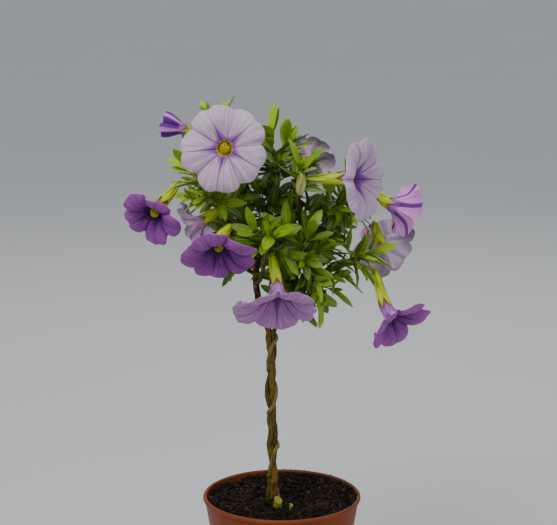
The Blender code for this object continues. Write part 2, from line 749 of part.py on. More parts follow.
def shoot_leaves(shoot, leaf_length, rng):
    """Leaf places up a shoot in a spiral: spreading and long below, erect and short at the tip."""
    points = shoot.points
    count = LEAVES_PER_SHOOT
    phase = rng.uniform(0.0, 2.0 * math.pi)
    for index in range(count):
        share = index / (count - 1)
        place = (LEAF_REACH[0] + (LEAF_REACH[1] - LEAF_REACH[0]) * share ** LEAF_CROWDING) * (len(points) - 1)
        low = min(int(place), len(points) - 2)
        root = points[low].lerp(points[low + 1], place - low)
        axis = (points[low + 1] - points[low]).normalized()
        first = across(axis, SIDE_HINT)
        lean = LEAF_SPREADING + (LEAF_ERECT - LEAF_SPREADING) * share
        length = leaf_length * (1.0 - LEAF_TIP_LOSS * share ** 2) * rng.uniform(*LEAF_SIZES)
        for attempt in range(LEAF_TRIES):
            turn = phase + index * GOLDEN_ANGLE + TRY_TURN * attempt * (-1) ** attempt
            outward = Matrix.Rotation(turn, 3, axis) @ first
            along = (axis * math.cos(lean) + outward * math.sin(lean)).normalized()
            facing = across(along, axis * math.sin(lean) - outward * math.cos(lean) + SUNWARD * UP)
            size = length * (1.0 - TRY_SHRINK * attempt)
            droop = LEAF_DROOP * (1.0 - share)
            yield index, Leaf(root, along, facing, size, LEAF_WIDTH * size, droop)


def tree_of(solid):
    return BVHTree.FromPolygons(solid.verts, solid.faces)


def touches(solid, trees):
    own = tree_of(solid)
    return any(own.overlap(tree) for tree in trees)


def grow_leaves(name, shoots, blooms, others):
    """Leaves that stay clear of every flower, of each other past their roots, and of other masses."""
    rng = random.Random(name + " leaves")
    kept = []
    own_trees = []
    for shoot, leaf_length in shoots:
        done = set()
        for index, leaf in shoot_leaves(shoot, leaf_length, rng):
            if index in done:
                continue
            whole = leaf_solid(leaf, grow=LEAF_CLEARANCE)
            blade = leaf_solid(leaf, LEAF_FREE, LEAF_CLEARANCE)
            if touches(whole, others) or touches(blade, blooms + own_trees):
                continue
            done.add(index)
            kept.append(leaf)
            own_trees.append(tree_of(leaf_solid(leaf, LEAF_FREE)))
    return kept


def fuse(name, stem, pieces, parts):
    """One closed body from a stem and everything that overlaps it."""
    joined = bpy.data.collections.new(name + "_pieces")
    bpy.context.scene.collection.children.link(joined)
    green = material(name + "_green", "leaf")
    lilac = material(name + "_petal", "petal")

    def place(solid, label, collection):
        mesh = bpy.data.meshes.new(label)
        mesh.from_pydata(solid.verts, [], solid.faces)
        mesh.materials.append(green)
        mesh.materials.append(lilac)
        for polygon in mesh.polygons:
            polygon.material_index = 0 if polygon.index < solid.green_faces else 1
        return add_object(label, mesh, collection)

    body = place(stem, name, parts)
    for index, solid in enumerate(pieces):
        place(solid, f"{name}_piece_{index + 1}", joined)
    union = body.modifiers.new("fuse", "BOOLEAN")
    union.operation = "UNION"
    union.operand_type = "COLLECTION"
    union.solver = "EXACT"
    union.material_mode = "TRANSFER"
    union.collection = joined
    apply_modifiers(body)
    for item in list(joined.objects):
        bpy.data.objects.remove(item, do_unlink=True)
    bpy.data.collections.remove(joined)
    keep_outer_body(body.data)


def keep_outer_body(mesh):
    """Keeps the largest connected skin: drops loose scraps and fills sealed hollows."""
    body = bmesh.new()
    body.from_mesh(mesh)
    left = set(body.verts)
    islands = []
    while left:
        front = [left.pop()]
        island = set(front)
        while front:
            vertex = front.pop()
            for edge in vertex.link_edges:
                other = edge.other_vert(vertex)
                if other in left:
                    left.remove(other)
                    island.add(other)
                    front.append(other)
        islands.append(island)
    islands.sort(key=len)
    for island in islands[:-1]:
        bmesh.ops.delete(body, geom=list(island), context="VERTS")
    body.to_mesh(mesh)
    body.free()


def grow_foliage(stems, boughs, parts):
    crown_centre = sum((millimetres(mass.hub) for mass in MASSES.values()), Vector()) / len(MASSES)
    limbs = [tree_of(tube_solid(limb, LIMB_SIDES)) for limb in (*stems.values(), *boughs.values())]
    twigs = {name: grow_twigs(name, boughs, crown_centre) for name in MASSES}
    solids = {key: flower_solid(flower) for key, flower in FLOWERS.items()}
    blooms = [tree_of(solid) for solid in solids.values()]
    wood = {}
    taken = {}
    for name, (stem, shoots, stalks) in twigs.items():
        wood[name] = [tube_solid(stem, MASS_STEM_SIDES)]
        wood[name] += [tube_solid(limb, TWIG_SIDES) for limb in (*(shoot for shoot, _ in shoots), *stalks)]
        taken[name] = [tree_of(solid) for solid in wood[name]]
    for name, (stem, shoots, stalks) in twigs.items():
        others = limbs + [tree for other, trees in taken.items() if other != name for tree in trees]
        leaves = grow_leaves(name, shoots, blooms, others)
        blades = [leaf_solid(leaf) for leaf in leaves]
        taken[name] += [tree_of(solid) for solid in blades]
        petals = [solids[key] for key, flower in FLOWERS.items() if flower.mass == name]
        if name == BUD_MASS:
            blades.append(bud_solid())
        fuse(name, wood[name][0], wood[name][1:] + blades + petals, parts)


def build():
    clear_scene()
    parts = new_collection("flowering_standard")
    cutters = new_collection("cutters")
    build_pot(parts, cutters)
    build_soil(parts)
    stems = grow_stems()
    boughs = grow_boughs(stems)
    for name, limb in stems.items():
        build_limb(name, limb, 1, "stem", parts)
    for name, limb in boughs.items():
        build_limb(name, limb, 0, "bough", parts)
    for name in STUBS:
        build_stub(name, parts)
    grow_foliage(stems, boughs, parts)


build()
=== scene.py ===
"""The looks of a flowering standard in its nursery pot.

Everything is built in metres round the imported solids: plaited stems with bark, boughs, twigs and leaves that
grow by the solids' own rule, trumpet flowers with veined lobes, a moulded pot and loose potting soil. Tables
give millimetres. The front of the plant faces -Y.
"""

import math
import random
from collections import namedtuple

import bmesh
import bpy
import numpy as np
from mathutils import Matrix, Vector, noise
from mathutils.bvhtree import BVHTree


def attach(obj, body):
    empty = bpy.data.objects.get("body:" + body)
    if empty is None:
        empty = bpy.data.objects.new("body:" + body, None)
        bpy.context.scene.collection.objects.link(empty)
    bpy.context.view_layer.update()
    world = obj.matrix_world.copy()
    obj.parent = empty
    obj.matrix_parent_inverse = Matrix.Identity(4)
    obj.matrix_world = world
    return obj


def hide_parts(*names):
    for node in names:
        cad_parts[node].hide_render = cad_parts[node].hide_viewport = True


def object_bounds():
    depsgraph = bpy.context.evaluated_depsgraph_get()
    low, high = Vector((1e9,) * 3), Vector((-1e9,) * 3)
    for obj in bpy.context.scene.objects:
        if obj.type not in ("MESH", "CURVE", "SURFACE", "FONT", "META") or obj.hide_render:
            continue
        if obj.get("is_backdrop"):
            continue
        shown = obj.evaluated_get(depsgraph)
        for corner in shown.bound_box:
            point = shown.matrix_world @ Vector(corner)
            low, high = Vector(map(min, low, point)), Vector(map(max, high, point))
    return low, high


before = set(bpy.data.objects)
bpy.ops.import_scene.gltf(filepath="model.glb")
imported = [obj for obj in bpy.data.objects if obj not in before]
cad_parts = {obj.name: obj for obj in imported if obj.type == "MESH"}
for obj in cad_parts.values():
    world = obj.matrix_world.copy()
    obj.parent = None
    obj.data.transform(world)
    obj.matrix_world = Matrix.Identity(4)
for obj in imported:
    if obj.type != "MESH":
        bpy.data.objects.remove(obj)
cad_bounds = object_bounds()

MM = 0.001
GAP = 0.3 * MM
UP = Vector((0.0, 0.0, 1.0))
ALONG_Y = Vector((0.0, 1.0, 0.0))
SIDE_HINT = Vector((0.31, 0.87, 0.38))
GOLDEN_ANGLE = math.radians(137.5)
TURN = 2.0 * math.pi
FIFTH = TURN / 5.0

# ---------------------------------------------------------------- sizes shared with the solids

POT_RIM_RADIUS = 52.5 * MM
POT_HEIGHT = 92.0 * MM
POT_BASE_RADIUS = 36.5 * MM
POT_WALL = 1.3 * MM
POT_FLOOR = 2.0 * MM
POT_FOOT_BEVEL = 1.5 * MM
LIP_OVERHANG = 1.3 * MM
LIP_HEIGHT = 3.2 * MM
DRAIN_COUNT = 6
DRAIN_RADIUS = 3.2 * MM
DRAIN_RING = 25.0 * MM
DRAIN_TURN = math.radians(14.0)
SOIL_TOP = 88.0 * MM
SOIL_EDGE_DROP = 1.2 * MM

PLAIT_FOOT = Vector((-5.8, 1.0)) * MM
PLAIT_HEAD = Vector((-7.0, 0.0)) * MM
PLAIT_TOP = 203.0 * MM
PLAIT_BALANCE = 0.22
MAIN_RADIUS = (2.1 * MM, 1.8 * MM)
SECOND_RADIUS = (1.45 * MM, 1.3 * MM)
THIRD_RADIUS = (1.15 * MM, 1.0 * MM)
SECOND_PITCH = -68.8 * MM
SECOND_IN_FRONT = 146.0 * MM
THIRD_PITCH = 37.4 * MM
THIRD_IN_FRONT = 116.0 * MM
# How close the stems lie, how close where they cross, how wide a crossing is, and the distance between points
Plait = namedtuple("Plait", "clearance crossing width step")
SOLID_PLAIT = Plait(0.45 * MM, 0.85 * MM, math.radians(100.0), 6.4 * MM)
TIGHT_PLAIT = Plait(-0.30 * MM, -0.35 * MM, math.radians(72.0), 1.6 * MM)
ROOT_FLARE = 1.3
ROOT_FLARE_HEIGHT = 7.0 * MM
CUT_RISE = 1.5 * MM
HEAD_STEP = 5.0 * MM

STEM_HEADS = {
    "main": ((-12.5, 0.0, 216), (-16.5, 0.0, 232), (-16.5, 0.5, 247), (-13.5, 1.0, 262)),
    "second": ((-2.0, -2.0, 214), (4.0, -1.0, 228), (10.0, 1.0, 242), (13.0, 3.0, 257)),
    "third": ((-2.5, 6.0, 214), (0.0, 12.0, 227), (0.5, 18.0, 242), (-1.0, 23.0, 258)),
}
# Cut stubs: place on the soil, radius, height, lean
STUBS = {
    "large": ((-3.0, -15.0), 2.8, 5.6, (0.10, -0.20)),
    "small": ((5.4, -17.0), 1.2, 2.6, (0.25, -0.20)),
}
BOUGH_RADIUS = (1.15 * MM, 0.85 * MM)
BOUGH_POINTS = 7
BOUGH_HANDLES = (0.35, 0.30)
BOUGH_LIFT = 0.4
BOUGHS = {
    "front": ("main", 238, (-11, -27, 256)),
    "left": ("main", 251, (-38, -10, 284)),
    "top_left": ("main", 257, (-29, -2, 302)),
    "top": ("main", 0, (-7, -1, 295)),
    "back_left": ("main", 244, (-34, 24, 276)),
    "top_right": ("second", 0, (10, -9, 287)),
    "upper_right": ("second", 250, (31, 3, 279)),
    "right": ("second", 236, (33, -4, 250)),
    "inner": ("second", 227, (9, -17, 247)),
    "low": ("second", 218, (13, -7, 232)),
    "back_top": ("third", 0, (-3, 22, 290)),
    "back_right": ("third", 249, (27, 28, 270)),
    "back": ("third", 237, (-5, 38, 249)),
}

TWIG_RADIUS = (1.0 * MM, 0.8 * MM)
STALK_RADIUS = 0.7 * MM
TWIG_POINTS = 3
MASS_STEM_SIDES = 4
TWIG_SIDES = 3
LIMB_SIDES = 6
TWIG_HANDLE = 0.3
FILL_SPREAD = 0.95
FILL_LEAF = (15.0 * MM, 21.0 * MM)
Mass = namedtuple("Mass", "hub shoots fill reach")
MASSES = {
    "front": Mass((-10, -32, 270), (
        ((4, -41, 263), 20), ((-17, -44, 279), 21), ((-6, -47, 277), 26)), 1, 18),
    "left": Mass((-46, -19, 292), (
        ((-63, -17, 319), 20), ((-60, -25, 297), 14), ((-37, -27, 293), 20), ((-49, -26, 288), 20)), 1, 18),
    "top_left": Mass((-34, -5, 314), (
        ((-50, 0, 350), 14), ((-35, 4, 351), 14), ((-21, -6, 333), 18)), 2, 20),
    "top": Mass((-4, -4, 306), (
        ((-8, -11, 336), 26), ((3, -8, 333), 24), ((-13, -12, 320), 17)), 1, 20),
    "top_right": Mass((9, -15, 297), (
        ((11, -25, 317), 24), ((19, -12, 318), 18)), 1, 16),
    "upper_right": Mass((35, 1, 287), (
        ((45, -8, 295), 18), ((42, 4, 306), 16), ((36, -11, 288), 18), ((54, 4, 296), 14)), 1, 18),
    "right": Mass((46, -7, 252), (
        ((60, -10, 258), 22), ((50, -12, 258), 18), ((40, -2, 262), 16)), 1, 18),
    "inner": Mass((12, -21, 258), (
        ((0, -28, 280), 22), ((17, -27, 274), 22), ((26, -20, 264), 22), ((14, -32, 258), 18)), 2, 20),
    "low": Mass((18, -10, 238), (
        ((23, -16, 230), 22), ((33, -9, 243), 19), ((13, -16, 230), 18), ((25, 3, 232), 18)), 2, 18),
    "back_left": Mass((-42, 32, 284), (
        ((-56, 36, 302), 18), ((-30, 40, 308), 18), ((-58, 28, 286), 18)), 2, 24),
    "back": Mass((-7, 46, 256), (
        ((-22, 52, 264), 18), ((8, 54, 268), 18), ((-4, 50, 242), 20)), 3, 22),
    "back_right": Mass((35, 34, 279), (
        ((50, 36, 296), 18), ((30, 44, 292), 18), ((52, 30, 276), 18)), 2, 24),
    "back_top": Mass((-4, 24, 302), (
        ((-10, 26, 326), 18), ((6, 22, 324), 18), ((-20, 28, 318), 18)), 3, 22),
}

# Flowers: mass, seat of the calyx, centre of the mouth, way it faces, reach of the lobes, cup and turn as in
# the solids, then how faded it is (0 deep violet, 1 pale lilac), how deep the notches between its lobes are
# and how far the lobes' tips curl back
Flower = namedtuple("Flower", "mass seat mouth face reach cup turn faded notch curl")
FLOWERS = {
    "top_left": Flower(
        "top_left", (-33, -29, 322), (-35, -52, 332), (-0.03, -0.985, 0.16), 27, 3, -12, 1.0, 0.13, 0.10),
    "half_open": Flower(
        "top_left", (-56, -2, 335), (-64, -4, 338), (-0.96, 0.18, 0.2), 17, 60, 3, 0.0, 0.12, -0.1),
    "left": Flower(
        "left", (-66, -13, 304), (-80, -30, 288), (-0.42, -0.78, -0.46), 22, 32, 0, 0.0, 0.27, 0.10),
    "left_low": Flower(
        "left", (-39, -13, 288), (-53, -8, 277), (-0.82, 0.1, -0.56), 19, 33, 0, 0.85, 0.22, 0.1),
    "front_left": Flower(
        "front", (-33, -38, 281), (-39, -57, 271), (0.03, -0.69, -0.72), 26, 30, 57, 0.0, 0.22, 0.10),
    "front": Flower(
        "front", (-6, -38, 262), (-3, -48, 240), (0.03, -0.59, -0.8), 30, 33, 0, 0.50, 0.16, 0.06),
    "top_right": Flower(
        "top_right", (17, -26, 309), (46, -34, 310), (0.87, -0.48, 0.05), 28, 18, 10, 0.9, 0.17, 0.04),
    "far_right": Flower(
        "upper_right", (60, 1, 296), (72, 6, 286.5), (0.8, 0.42, -0.32), 23, 44, 36, 0.1, 0.26, 0.05),
    "right_back": Flower(
        "right", (60, 8, 274), (67, 20, 258), (0.58, 0.62, -0.52), 22, 32, 0, 1.0, 0.20, 0.15),
    "right_low": Flower(
        "right", (60, -12, 247), (70, -19, 219), (0.5, -0.54, -0.68), 25, 33, 30, 0.1, 0.24, 0.05),
    "back_top": Flower(
        "back_top", (14, 30, 305), (18, 46, 312), (0.2, 0.84, 0.5), 18, 12, 0, 1.0, 0.18, 0.12),
    "back_left": Flower(
        "back_left", (-35, 44, 305), (-38, 60, 305), (-0.12, 0.98, -0.1), 24, 12, 0, 0.5, 0.20, 0.12),
    "side_left": Flower(
        "back_left", (-44, 24, 318), (-47, 38, 325), (-0.3, 0.78, 0.55), 20, 26, 18, 0.2, 0.24, 0.1),
    "back_low": Flower(
        "back", (-3, 50, 230), (6, 58, 211), (0.05, 0.56, -0.83), 18, 32, 0, 0.3, 0.2, 0.12),
    "back": Flower(
        "back", (-31, 50, 256), (-38, 66, 252), (-0.3, 0.93, -0.2), 22, 14, 24, 0.85, 0.16, 0.1),
    "back_right": Flower(
        "back_right", (59, 51, 260), (66, 66, 246), (0.5, 0.74, -0.45), 22, 24, 0, 0.1, 0.22, 0.14),
}
LOBES = 5
POINTS_PER_LOBE = 3
LOBE_OUTLINE = (0.83, 1.0, 1.0)
AXIS_POINTS = 7
AXIS_HANDLES = (0.30, 0.45)
THROAT_RADIUS = 4.2 * MM
THROAT_OUTSIDE = 1.15
THROAT_DEPTH = 7.0 * MM
SOLID_PETAL = 0.7 * MM
LOBE_MIDDLE = 0.55
LOBE_ARCH = math.radians(9.0)
CALYX_FOOT_RADIUS = 1.5 * MM
CALYX_RIM_RADIUS = 3.9 * MM
CALYX_TIP = 0.60
CALYX_NOTCH = 0.36
TUBE_START = 0.34
TUBE_RADIUS = 2.1 * MM
FULL_REACH = 20.0 * MM

BUD_MASS = "top_right"
BUD_TOP = (12, -25, 313)
BUD_LENGTH = 15.0 * MM
BUD_RADIUS = 4.2 * MM
BUD_HANGS = Vector((-0.05, -0.12, -1.0)).normalized()
BUD_SEAT_DEPTH = 1.5 * MM

LEAF_WIDTH = 0.42
LEAF_KEEL = 0.036
LEAF_ROOT = (0.0, 0.10)
LEAF_BELLY = (0.42, 1.0)
LEAF_SHOULDER = (0.80, 0.72)
SHORT_LEAF = 15.0 * MM
LEAF_ERECT = math.radians(26.0)
LEAF_SPREADING = math.radians(68.0)
LEAF_DROOP = 0.16
LEAVES_PER_SHOOT = 5
LEAF_REACH = (0.30, 0.93)
LEAF_TRIES = 4
LEAF_TIP_LOSS = 0.18
SUNWARD = 0.7
LEAF_CROWDING = 0.8
LEAF_SIZES = (0.85, 1.1)
TRY_TURN = 0.45
TRY_SHRINK = 0.1
LEAF_CLEARANCE = 0.5 * MM
LEAF_FREE = (0.12, 0.45)

Leaf = namedtuple("Leaf", "root along facing length width droop")
Limb = namedtuple("Limb", "points radii")
Solid = namedtuple("Solid", "verts faces")


def millimetres(values):
    return Vector(values) * MM


# ---------------------------------------------------------------- materials


class Paint:
    """A Principled material whose nodes are added by short calls."""

    def __init__(self, name, roughness, **constants):
        self.material = bpy.data.materials.new(name)
        self.material.use_nodes = True
        self.tree = self.material.node_tree
        self.shader = self.tree.nodes["Principled BSDF"]
        self.shader.inputs["Roughness"].default_value = roughness
        for socket, value in constants.items():
            self.shader.inputs[socket.replace("_", " ")].default_value = value

    def node(self, kind, **settings):
        made = self.tree.nodes.new(kind)
        for key, value in settings.items():
            setattr(made, key, value)
        return made

    def feed(self, socket, value):
        """Links an output, or sets a constant."""
        if isinstance(value, bpy.types.NodeSocket):
            self.tree.links.new(value, socket)
        elif isinstance(value, tuple) and len(value) == 3 and socket.type == "RGBA":
            socket.default_value = (*value, 1.0)
        else:
            socket.default_value = value

    def attributes(self, *names):
        """The values that a mesh carries under these names."""
        return [self.node("ShaderNodeAttribute", attribute_name=name).outputs["Fac"] for name in names]

    def object_place(self):
        return self.node("ShaderNodeTexCoord").outputs["Object"]

    def wired(self, kind, values, **settings):
        """A node with the values fed to its first sockets."""
        made = self.node(kind, **settings)
        for socket, value in zip(made.inputs, values):
            self.feed(socket, value)
        return made.outputs[0]

    def maths(self, operation, *values):
        return self.wired("ShaderNodeMath", values, operation=operation)

    def times(self, first, second):
        return self.maths("MULTIPLY", first, second)

    def squeezed(self, place, upright):
        """Place with its height scaled, which draws a pattern out along the limb or wall."""
        return self.wired("ShaderNodeVectorMath", (place, (1.0, 1.0, upright)), operation="MULTIPLY")

    def spread(self, value, low, high, to_low=0.0, to_high=1.0):
        """Value carried smoothly from one range to another."""
        values = (value, low, high, to_low, to_high)
        return self.wired("ShaderNodeMapRange", values, interpolation_type="SMOOTHSTEP")

    def mix(self, share, below, above):
        made = self.node("ShaderNodeMix", data_type="RGBA", blend_type="MIX")
        for socket, value in (("Factor", share), (6, below), (7, above)):
            self.feed(made.inputs[socket], value)
        return made.outputs[2]

    def tint(self, colour, other, value, *span):
        """Colour that turns into another as a value goes through a span."""
        return self.mix(self.spread(value, *span), colour, other)

    def ramp(self, value, *stops):
        made = self.node("ShaderNodeValToRGB")
        elements = made.color_ramp.elements
        while len(elements) < len(stops):
            elements.new(0.5)
        for element, (place, colour) in zip(elements, stops):
            element.position = place
            element.color = (*colour, 1.0)
        self.feed(made.inputs[0], value)
        return made.outputs[0]

    def noise(self, vector, scale, detail=3.0, roughness=0.55):
        made = self.node("ShaderNodeTexNoise")
        values = {"Vector": vector, "Scale": scale, "Detail": detail, "Roughness": roughness}
        for name, value in values.items():
            self.feed(made.inputs[name], value)
        return made.outputs["Fac"]

    def finish(self, colour, height=None, depth=0.1 * MM, roughness=None):
        self.feed(self.shader.inputs["Base Color"], colour)
        if height is not None:
            bump = self.node("ShaderNodeBump")
            bump.inputs["Strength"].default_value = 0.6
            bump.inputs["Distance"].default_value = depth
            self.feed(bump.inputs["Height"], height)
            self.feed(self.shader.inputs["Normal"], bump.outputs[0])
        if roughness is not None:
            self.feed(self.shader.inputs["Roughness"], roughness)
        return self.material


def leaf_material():
    """Green by the leaf's age and by painted light and shade, with a paler midrib and margin, faint side veins
    and a dull underside.
    """
    paint = Paint("leaf_green", 0.48, Specular_IOR_Level=0.4)
    youth, across, along, under = paint.attributes("youth", "across", "along", "under")
    place = paint.object_place()
    blotch = paint.noise(place, 260.0)
    shade = paint.maths("ADD", youth, paint.times(paint.maths("SUBTRACT", blotch, 0.5), 0.25))
    # The ramp from dark to bright green holds the leaf's age and painted light: painted shade deep in the
    # crown, painted light on top.
    green = paint.ramp(
        shade,
        (0.0, (0.022, 0.054, 0.001)),
        (0.30, (0.072, 0.160, 0.001)),
        (0.62, (0.205, 0.350, 0.003)),
        (1.0, (0.370, 0.540, 0.006)))
    sideways = paint.maths("ABSOLUTE", across)
    slant = paint.maths("SUBTRACT", paint.times(along, 52.0), paint.times(sideways, 14.0))
    vein = paint.spread(paint.maths("SINE", slant), 0.55, 1.0, 0.0, 0.22)
    green = paint.mix(vein, green, (0.240, 0.380, 0.010))
    rib = paint.times(paint.spread(sideways, 0.17, 0.03), paint.spread(along, 1.0, 0.2, 0.25, 0.75))
    green = paint.mix(rib, green, (0.380, 0.520, 0.030))
    green = paint.tint(green, (0.360, 0.480, 0.015), sideways, 0.86, 1.0, 0.0, 0.30)
    dull = paint.mix(0.45, green, (0.150, 0.230, 0.020))
    green = paint.mix(under, green, dull)
    relief = paint.maths("ADD", paint.times(vein, -2.0), paint.noise(place, 900.0, 2.0))
    return paint.finish(green, relief, 0.12 * MM, paint.spread(under, 0.0, 1.0, 0.42, 0.62))


FADING = (1.0, 1.5, 1.0)


def petal_material(name, faded):
    """Thin lobes: a yellow throat that darkens deep down as painted shade, a violet star round it, a dark line
    down each lobe and fine rays.
    """
    paint = Paint(name, 0.62, Sheen_Weight=0.04, Sheen_Roughness=0.5, Specular_IOR_Level=0.2)
    out, vein = paint.attributes("out", "vein")
    ray = paint.node("ShaderNodeAttribute", attribute_name="ray").outputs["Vector"]
    fine = paint.noise(ray, 1.0, 4.0, 0.65)
    broad = paint.noise(ray, 0.28, 2.0)

    def blend(deep, pale):
        return tuple(a + (b - a) * faded ** power for a, b, power in zip(deep, pale, FADING))

    face = blend((0.150, 0.015, 0.208), (0.475, 0.335, 0.455))
    face_rim = blend((0.262, 0.058, 0.300), (0.530, 0.410, 0.520))
    light = blend((0.400, 0.130, 0.440), (0.680, 0.570, 0.670))
    star = blend((0.045, 0.002, 0.100), (0.200, 0.035, 0.330))
    line = blend((0.025, 0.002, 0.060), (0.080, 0.014, 0.160))
    back = blend((0.620, 0.245, 0.630), (0.600, 0.450, 0.620))
    back_light = blend((0.880, 0.500, 0.950), (0.720, 0.600, 0.740))
    band = blend((0.080, 0.004, 0.200), (0.400, 0.240, 0.470))

    colour = paint.tint(face, face_rim, out, 0.35, 1.0)
    colour = paint.tint(colour, light, fine, 0.47, 0.66, 0.0, 0.40 + 0.30 * faded)
    colour = paint.tint(colour, star, fine, 0.46, 0.30, 0.0, 0.20 + 0.22 * faded)
    colour = paint.tint(colour, star, broad, 0.50, 0.80, 0.0, 0.30)
    along_vein = paint.spread(vein, 3.8, 0.2, 0.20, 0.64)
    colour = paint.tint(colour, star, paint.maths("DIVIDE", out, along_vein), 1.0, 0.1, 0.0, 0.92)
    parting = paint.times(
        paint.spread(*paint.attributes("notch"), 0.8, 0.1), paint.spread(out, 1.0, 0.2, 0.4, 0.8))
    colour = paint.mix(parting, colour, star)
    width = paint.spread(out, 0.0, 0.95, 0.60, 0.24)
    drawn = paint.maths("DIVIDE", vein, width)
    strength = paint.spread(out, 0.70, 1.0, 0.90, 0.15)
    colour = paint.mix(paint.times(paint.spread(drawn, 1.0, 0.35), strength), colour, line)
    colour = paint.mix(paint.spread(out, 0.34, 0.06, 0.0, 0.85 * (1.0 - faded)), colour, star)
    ragged = paint.maths("ADD", out, paint.spread(fine, 0.35, 0.65, -0.03, 0.03))
    yellow_edge = 0.055 if faded == 1.0 else -0.045
    yellow = paint.mix(paint.spread(fine, 0.40, 0.62), (0.560, 0.420, 0.006), (0.330, 0.240, 0.004))
    colour = paint.tint(colour, yellow, ragged, yellow_edge, yellow_edge - 0.035)
    # Painted shade: olive darkening deep down the throat.
    colour = paint.tint(colour, (0.150, 0.110, 0.004), out, -0.10, -0.22, 0.0, 0.6)

    behind = paint.tint(back, back_light, fine, 0.40, 0.75, 0.0, 0.5)
    stripe = paint.times(
        paint.spread(vein, 2.5, 1.5), paint.spread(out, 1.0, 0.0, 0.92 - 0.27 * faded, 0.95))
    behind = paint.mix(stripe, behind, band)
    streaked = paint.tint(back, band, fine, 0.38, 0.62)
    tube = paint.ramp(
        paint.maths("ADD", out, 1.0),
        (0.0, (0.250, 0.330, 0.010)),
        (0.56, (0.360, 0.320, 0.010)),
        (0.72, (0.270, 0.110, 0.014)),
        (0.84, (0.250, 0.070, 0.150)))
    tube = paint.tint(tube, streaked, out, -0.26, -0.10)
    behind = paint.tint(behind, tube, out, 0.16, -0.05)
    colour = paint.mix(*paint.attributes("inner"), behind, colour)
    relief = paint.maths("ADD", fine, paint.times(paint.spread(drawn, 1.0, 0.2), -1.0))
    return paint.finish(colour, relief, 0.32 * MM)


def sepal_material():
    paint = Paint("sepal_green", 0.5, Specular_IOR_Level=0.35)
    across = paint.maths("ABSOLUTE", *paint.attributes("across"))
    along, = paint.attributes("along")
    fresh = paint.noise(paint.object_place(), 320.0)
    green = paint.mix(fresh, (0.370, 0.500, 0.004), (0.520, 0.640, 0.010))
    green = paint.tint(green, (0.620, 0.680, 0.050), across, 0.25, 0.02, 0.0, 0.5)
    green = paint.tint(green, (0.240, 0.380, 0.004), along, 0.25, 0.0, 0.0, 0.6)
    green = paint.tint(green, (0.400, 0.250, 0.012), along, 0.74, 1.0, 0.0, 0.75)
    return paint.finish(green, fresh, 0.1 * MM)


def bark_material(name, low, high, fleck, rough=0.8, fine=700.0):
    """Ridged bark: colour by height, painted shade in the furrows and pale leaf scars."""
    paint = Paint(name, rough, Specular_IOR_Level=0.3)
    place = paint.object_place()
    rise, scar, furrow = paint.attributes("rise", "scar", "furrow")
    stretched = paint.squeezed(place, 0.28)
    grain = paint.noise(stretched, fine, 4.0, 0.65)
    mottle = paint.noise(place, 190.0)
    colour = paint.mix(rise, low, high)
    colour = paint.tint(colour, tuple(0.45 * c for c in low), grain, 0.35, 0.7, 0.0, 0.55)
    colour = paint.tint(colour, fleck, mottle, 0.45, 0.75, 0.0, 0.5)
    # Painted shade: the colour darkens where the bark's ridges sink.
    colour = paint.tint(colour, tuple(0.25 * c for c in high), furrow, 0.1, 0.9, 0.0, 0.75)
    marked = paint.times(paint.spread(scar, 0.35, 0.8), paint.spread(rise, 0.0, 1.0, 0.40, 0.95))
    colour = paint.mix(marked, colour, (0.260, 0.190, 0.060))
    return paint.finish(colour, grain, 0.25 * MM)


def twig_material():
    paint = Paint("twig_green", 0.6, Specular_IOR_Level=0.35)
    rise, = paint.attributes("rise")
    mottle = paint.noise(paint.object_place(), 420.0)
    colour = paint.mix(rise, (0.110, 0.120, 0.022), (0.230, 0.330, 0.020))
    colour = paint.tint(colour, (0.200, 0.150, 0.040), mottle, 0.4, 0.7, 0.0, 0.45)
    return paint.finish(colour, mottle, 0.12 * MM)


def pot_material():
    """Terracotta-coloured plastic with fine scuffs, dust in patches and soil stains inside."""
    paint = Paint("pot_plastic", 0.50, Specular_IOR_Level=0.28)
    place = paint.object_place()
    cloud = paint.noise(place, 26.0, 4.0)
    speck = paint.noise(place, 640.0, 3.0, 0.7)
    streaks = paint.noise(paint.squeezed(place, 0.06), 210.0, 3.0)
    colour = paint.mix(cloud, (0.150, 0.021, 0.001), (0.215, 0.038, 0.001))
    colour = paint.tint(colour, (0.260, 0.060, 0.008), streaks, 0.52, 0.72, 0.0, 0.28)
    colour = paint.tint(colour, (0.100, 0.024, 0.006), speck, 0.62, 0.78, 0.0, 0.35)
    grime = paint.times(*paint.attributes("grime"), paint.spread(paint.noise(place, 330.0), 0.40, 0.62))
    colour = paint.mix(paint.times(grime, 0.8), colour, (0.075, 0.048, 0.008))
    stain = paint.times(*paint.attributes("inside"), paint.spread(speck, 0.35, 0.60))
    colour = paint.mix(paint.times(stain, 0.8), colour, (0.040, 0.016, 0.006))
    rough = paint.spread(cloud, 0.35, 0.7, 0.44, 0.62)
    return paint.finish(colour, paint.maths("ADD", speck, streaks), 0.05 * MM, rough)


def soil_material():
    paint = Paint("potting_soil", 0.95, Specular_IOR_Level=0.15)
    place = paint.object_place()
    crumb = paint.noise(place, 520.0, 5.0, 0.7)
    patch = paint.noise(place, 70.0, 3.0)
    colour = paint.ramp(
        crumb, (0.30, (0.002, 0.0015, 0.0013)), (0.55, (0.010, 0.006, 0.004)), (0.75, (0.036, 0.018, 0.008)))
    colour = paint.tint(colour, (0.016, 0.009, 0.005), patch, 0.45, 0.75, 0.0, 0.5)
    return paint.finish(colour, crumb, 0.6 * MM)


def plain_bits_material(name, colour, rough=0.85):
    """One colour of loose bit, broken by a fine mottle."""
    paint = Paint(name, rough, Specular_IOR_Level=0.2)
    mottle = paint.noise(paint.object_place(), 800.0, 3.0)
    shade = paint.mix(mottle, tuple(0.55 * c for c in colour), tuple(min(1.0, 1.35 * c) for c in colour))
    return paint.finish(shade, mottle, 0.1 * MM)


# ---------------------------------------------------------------- meshes


# Edges that bend more than this many degrees stay sharp
BARK_CREASE = 65
BLADE_CREASE = 62
PETAL_CREASE = 80
CUT_CREASE = 45


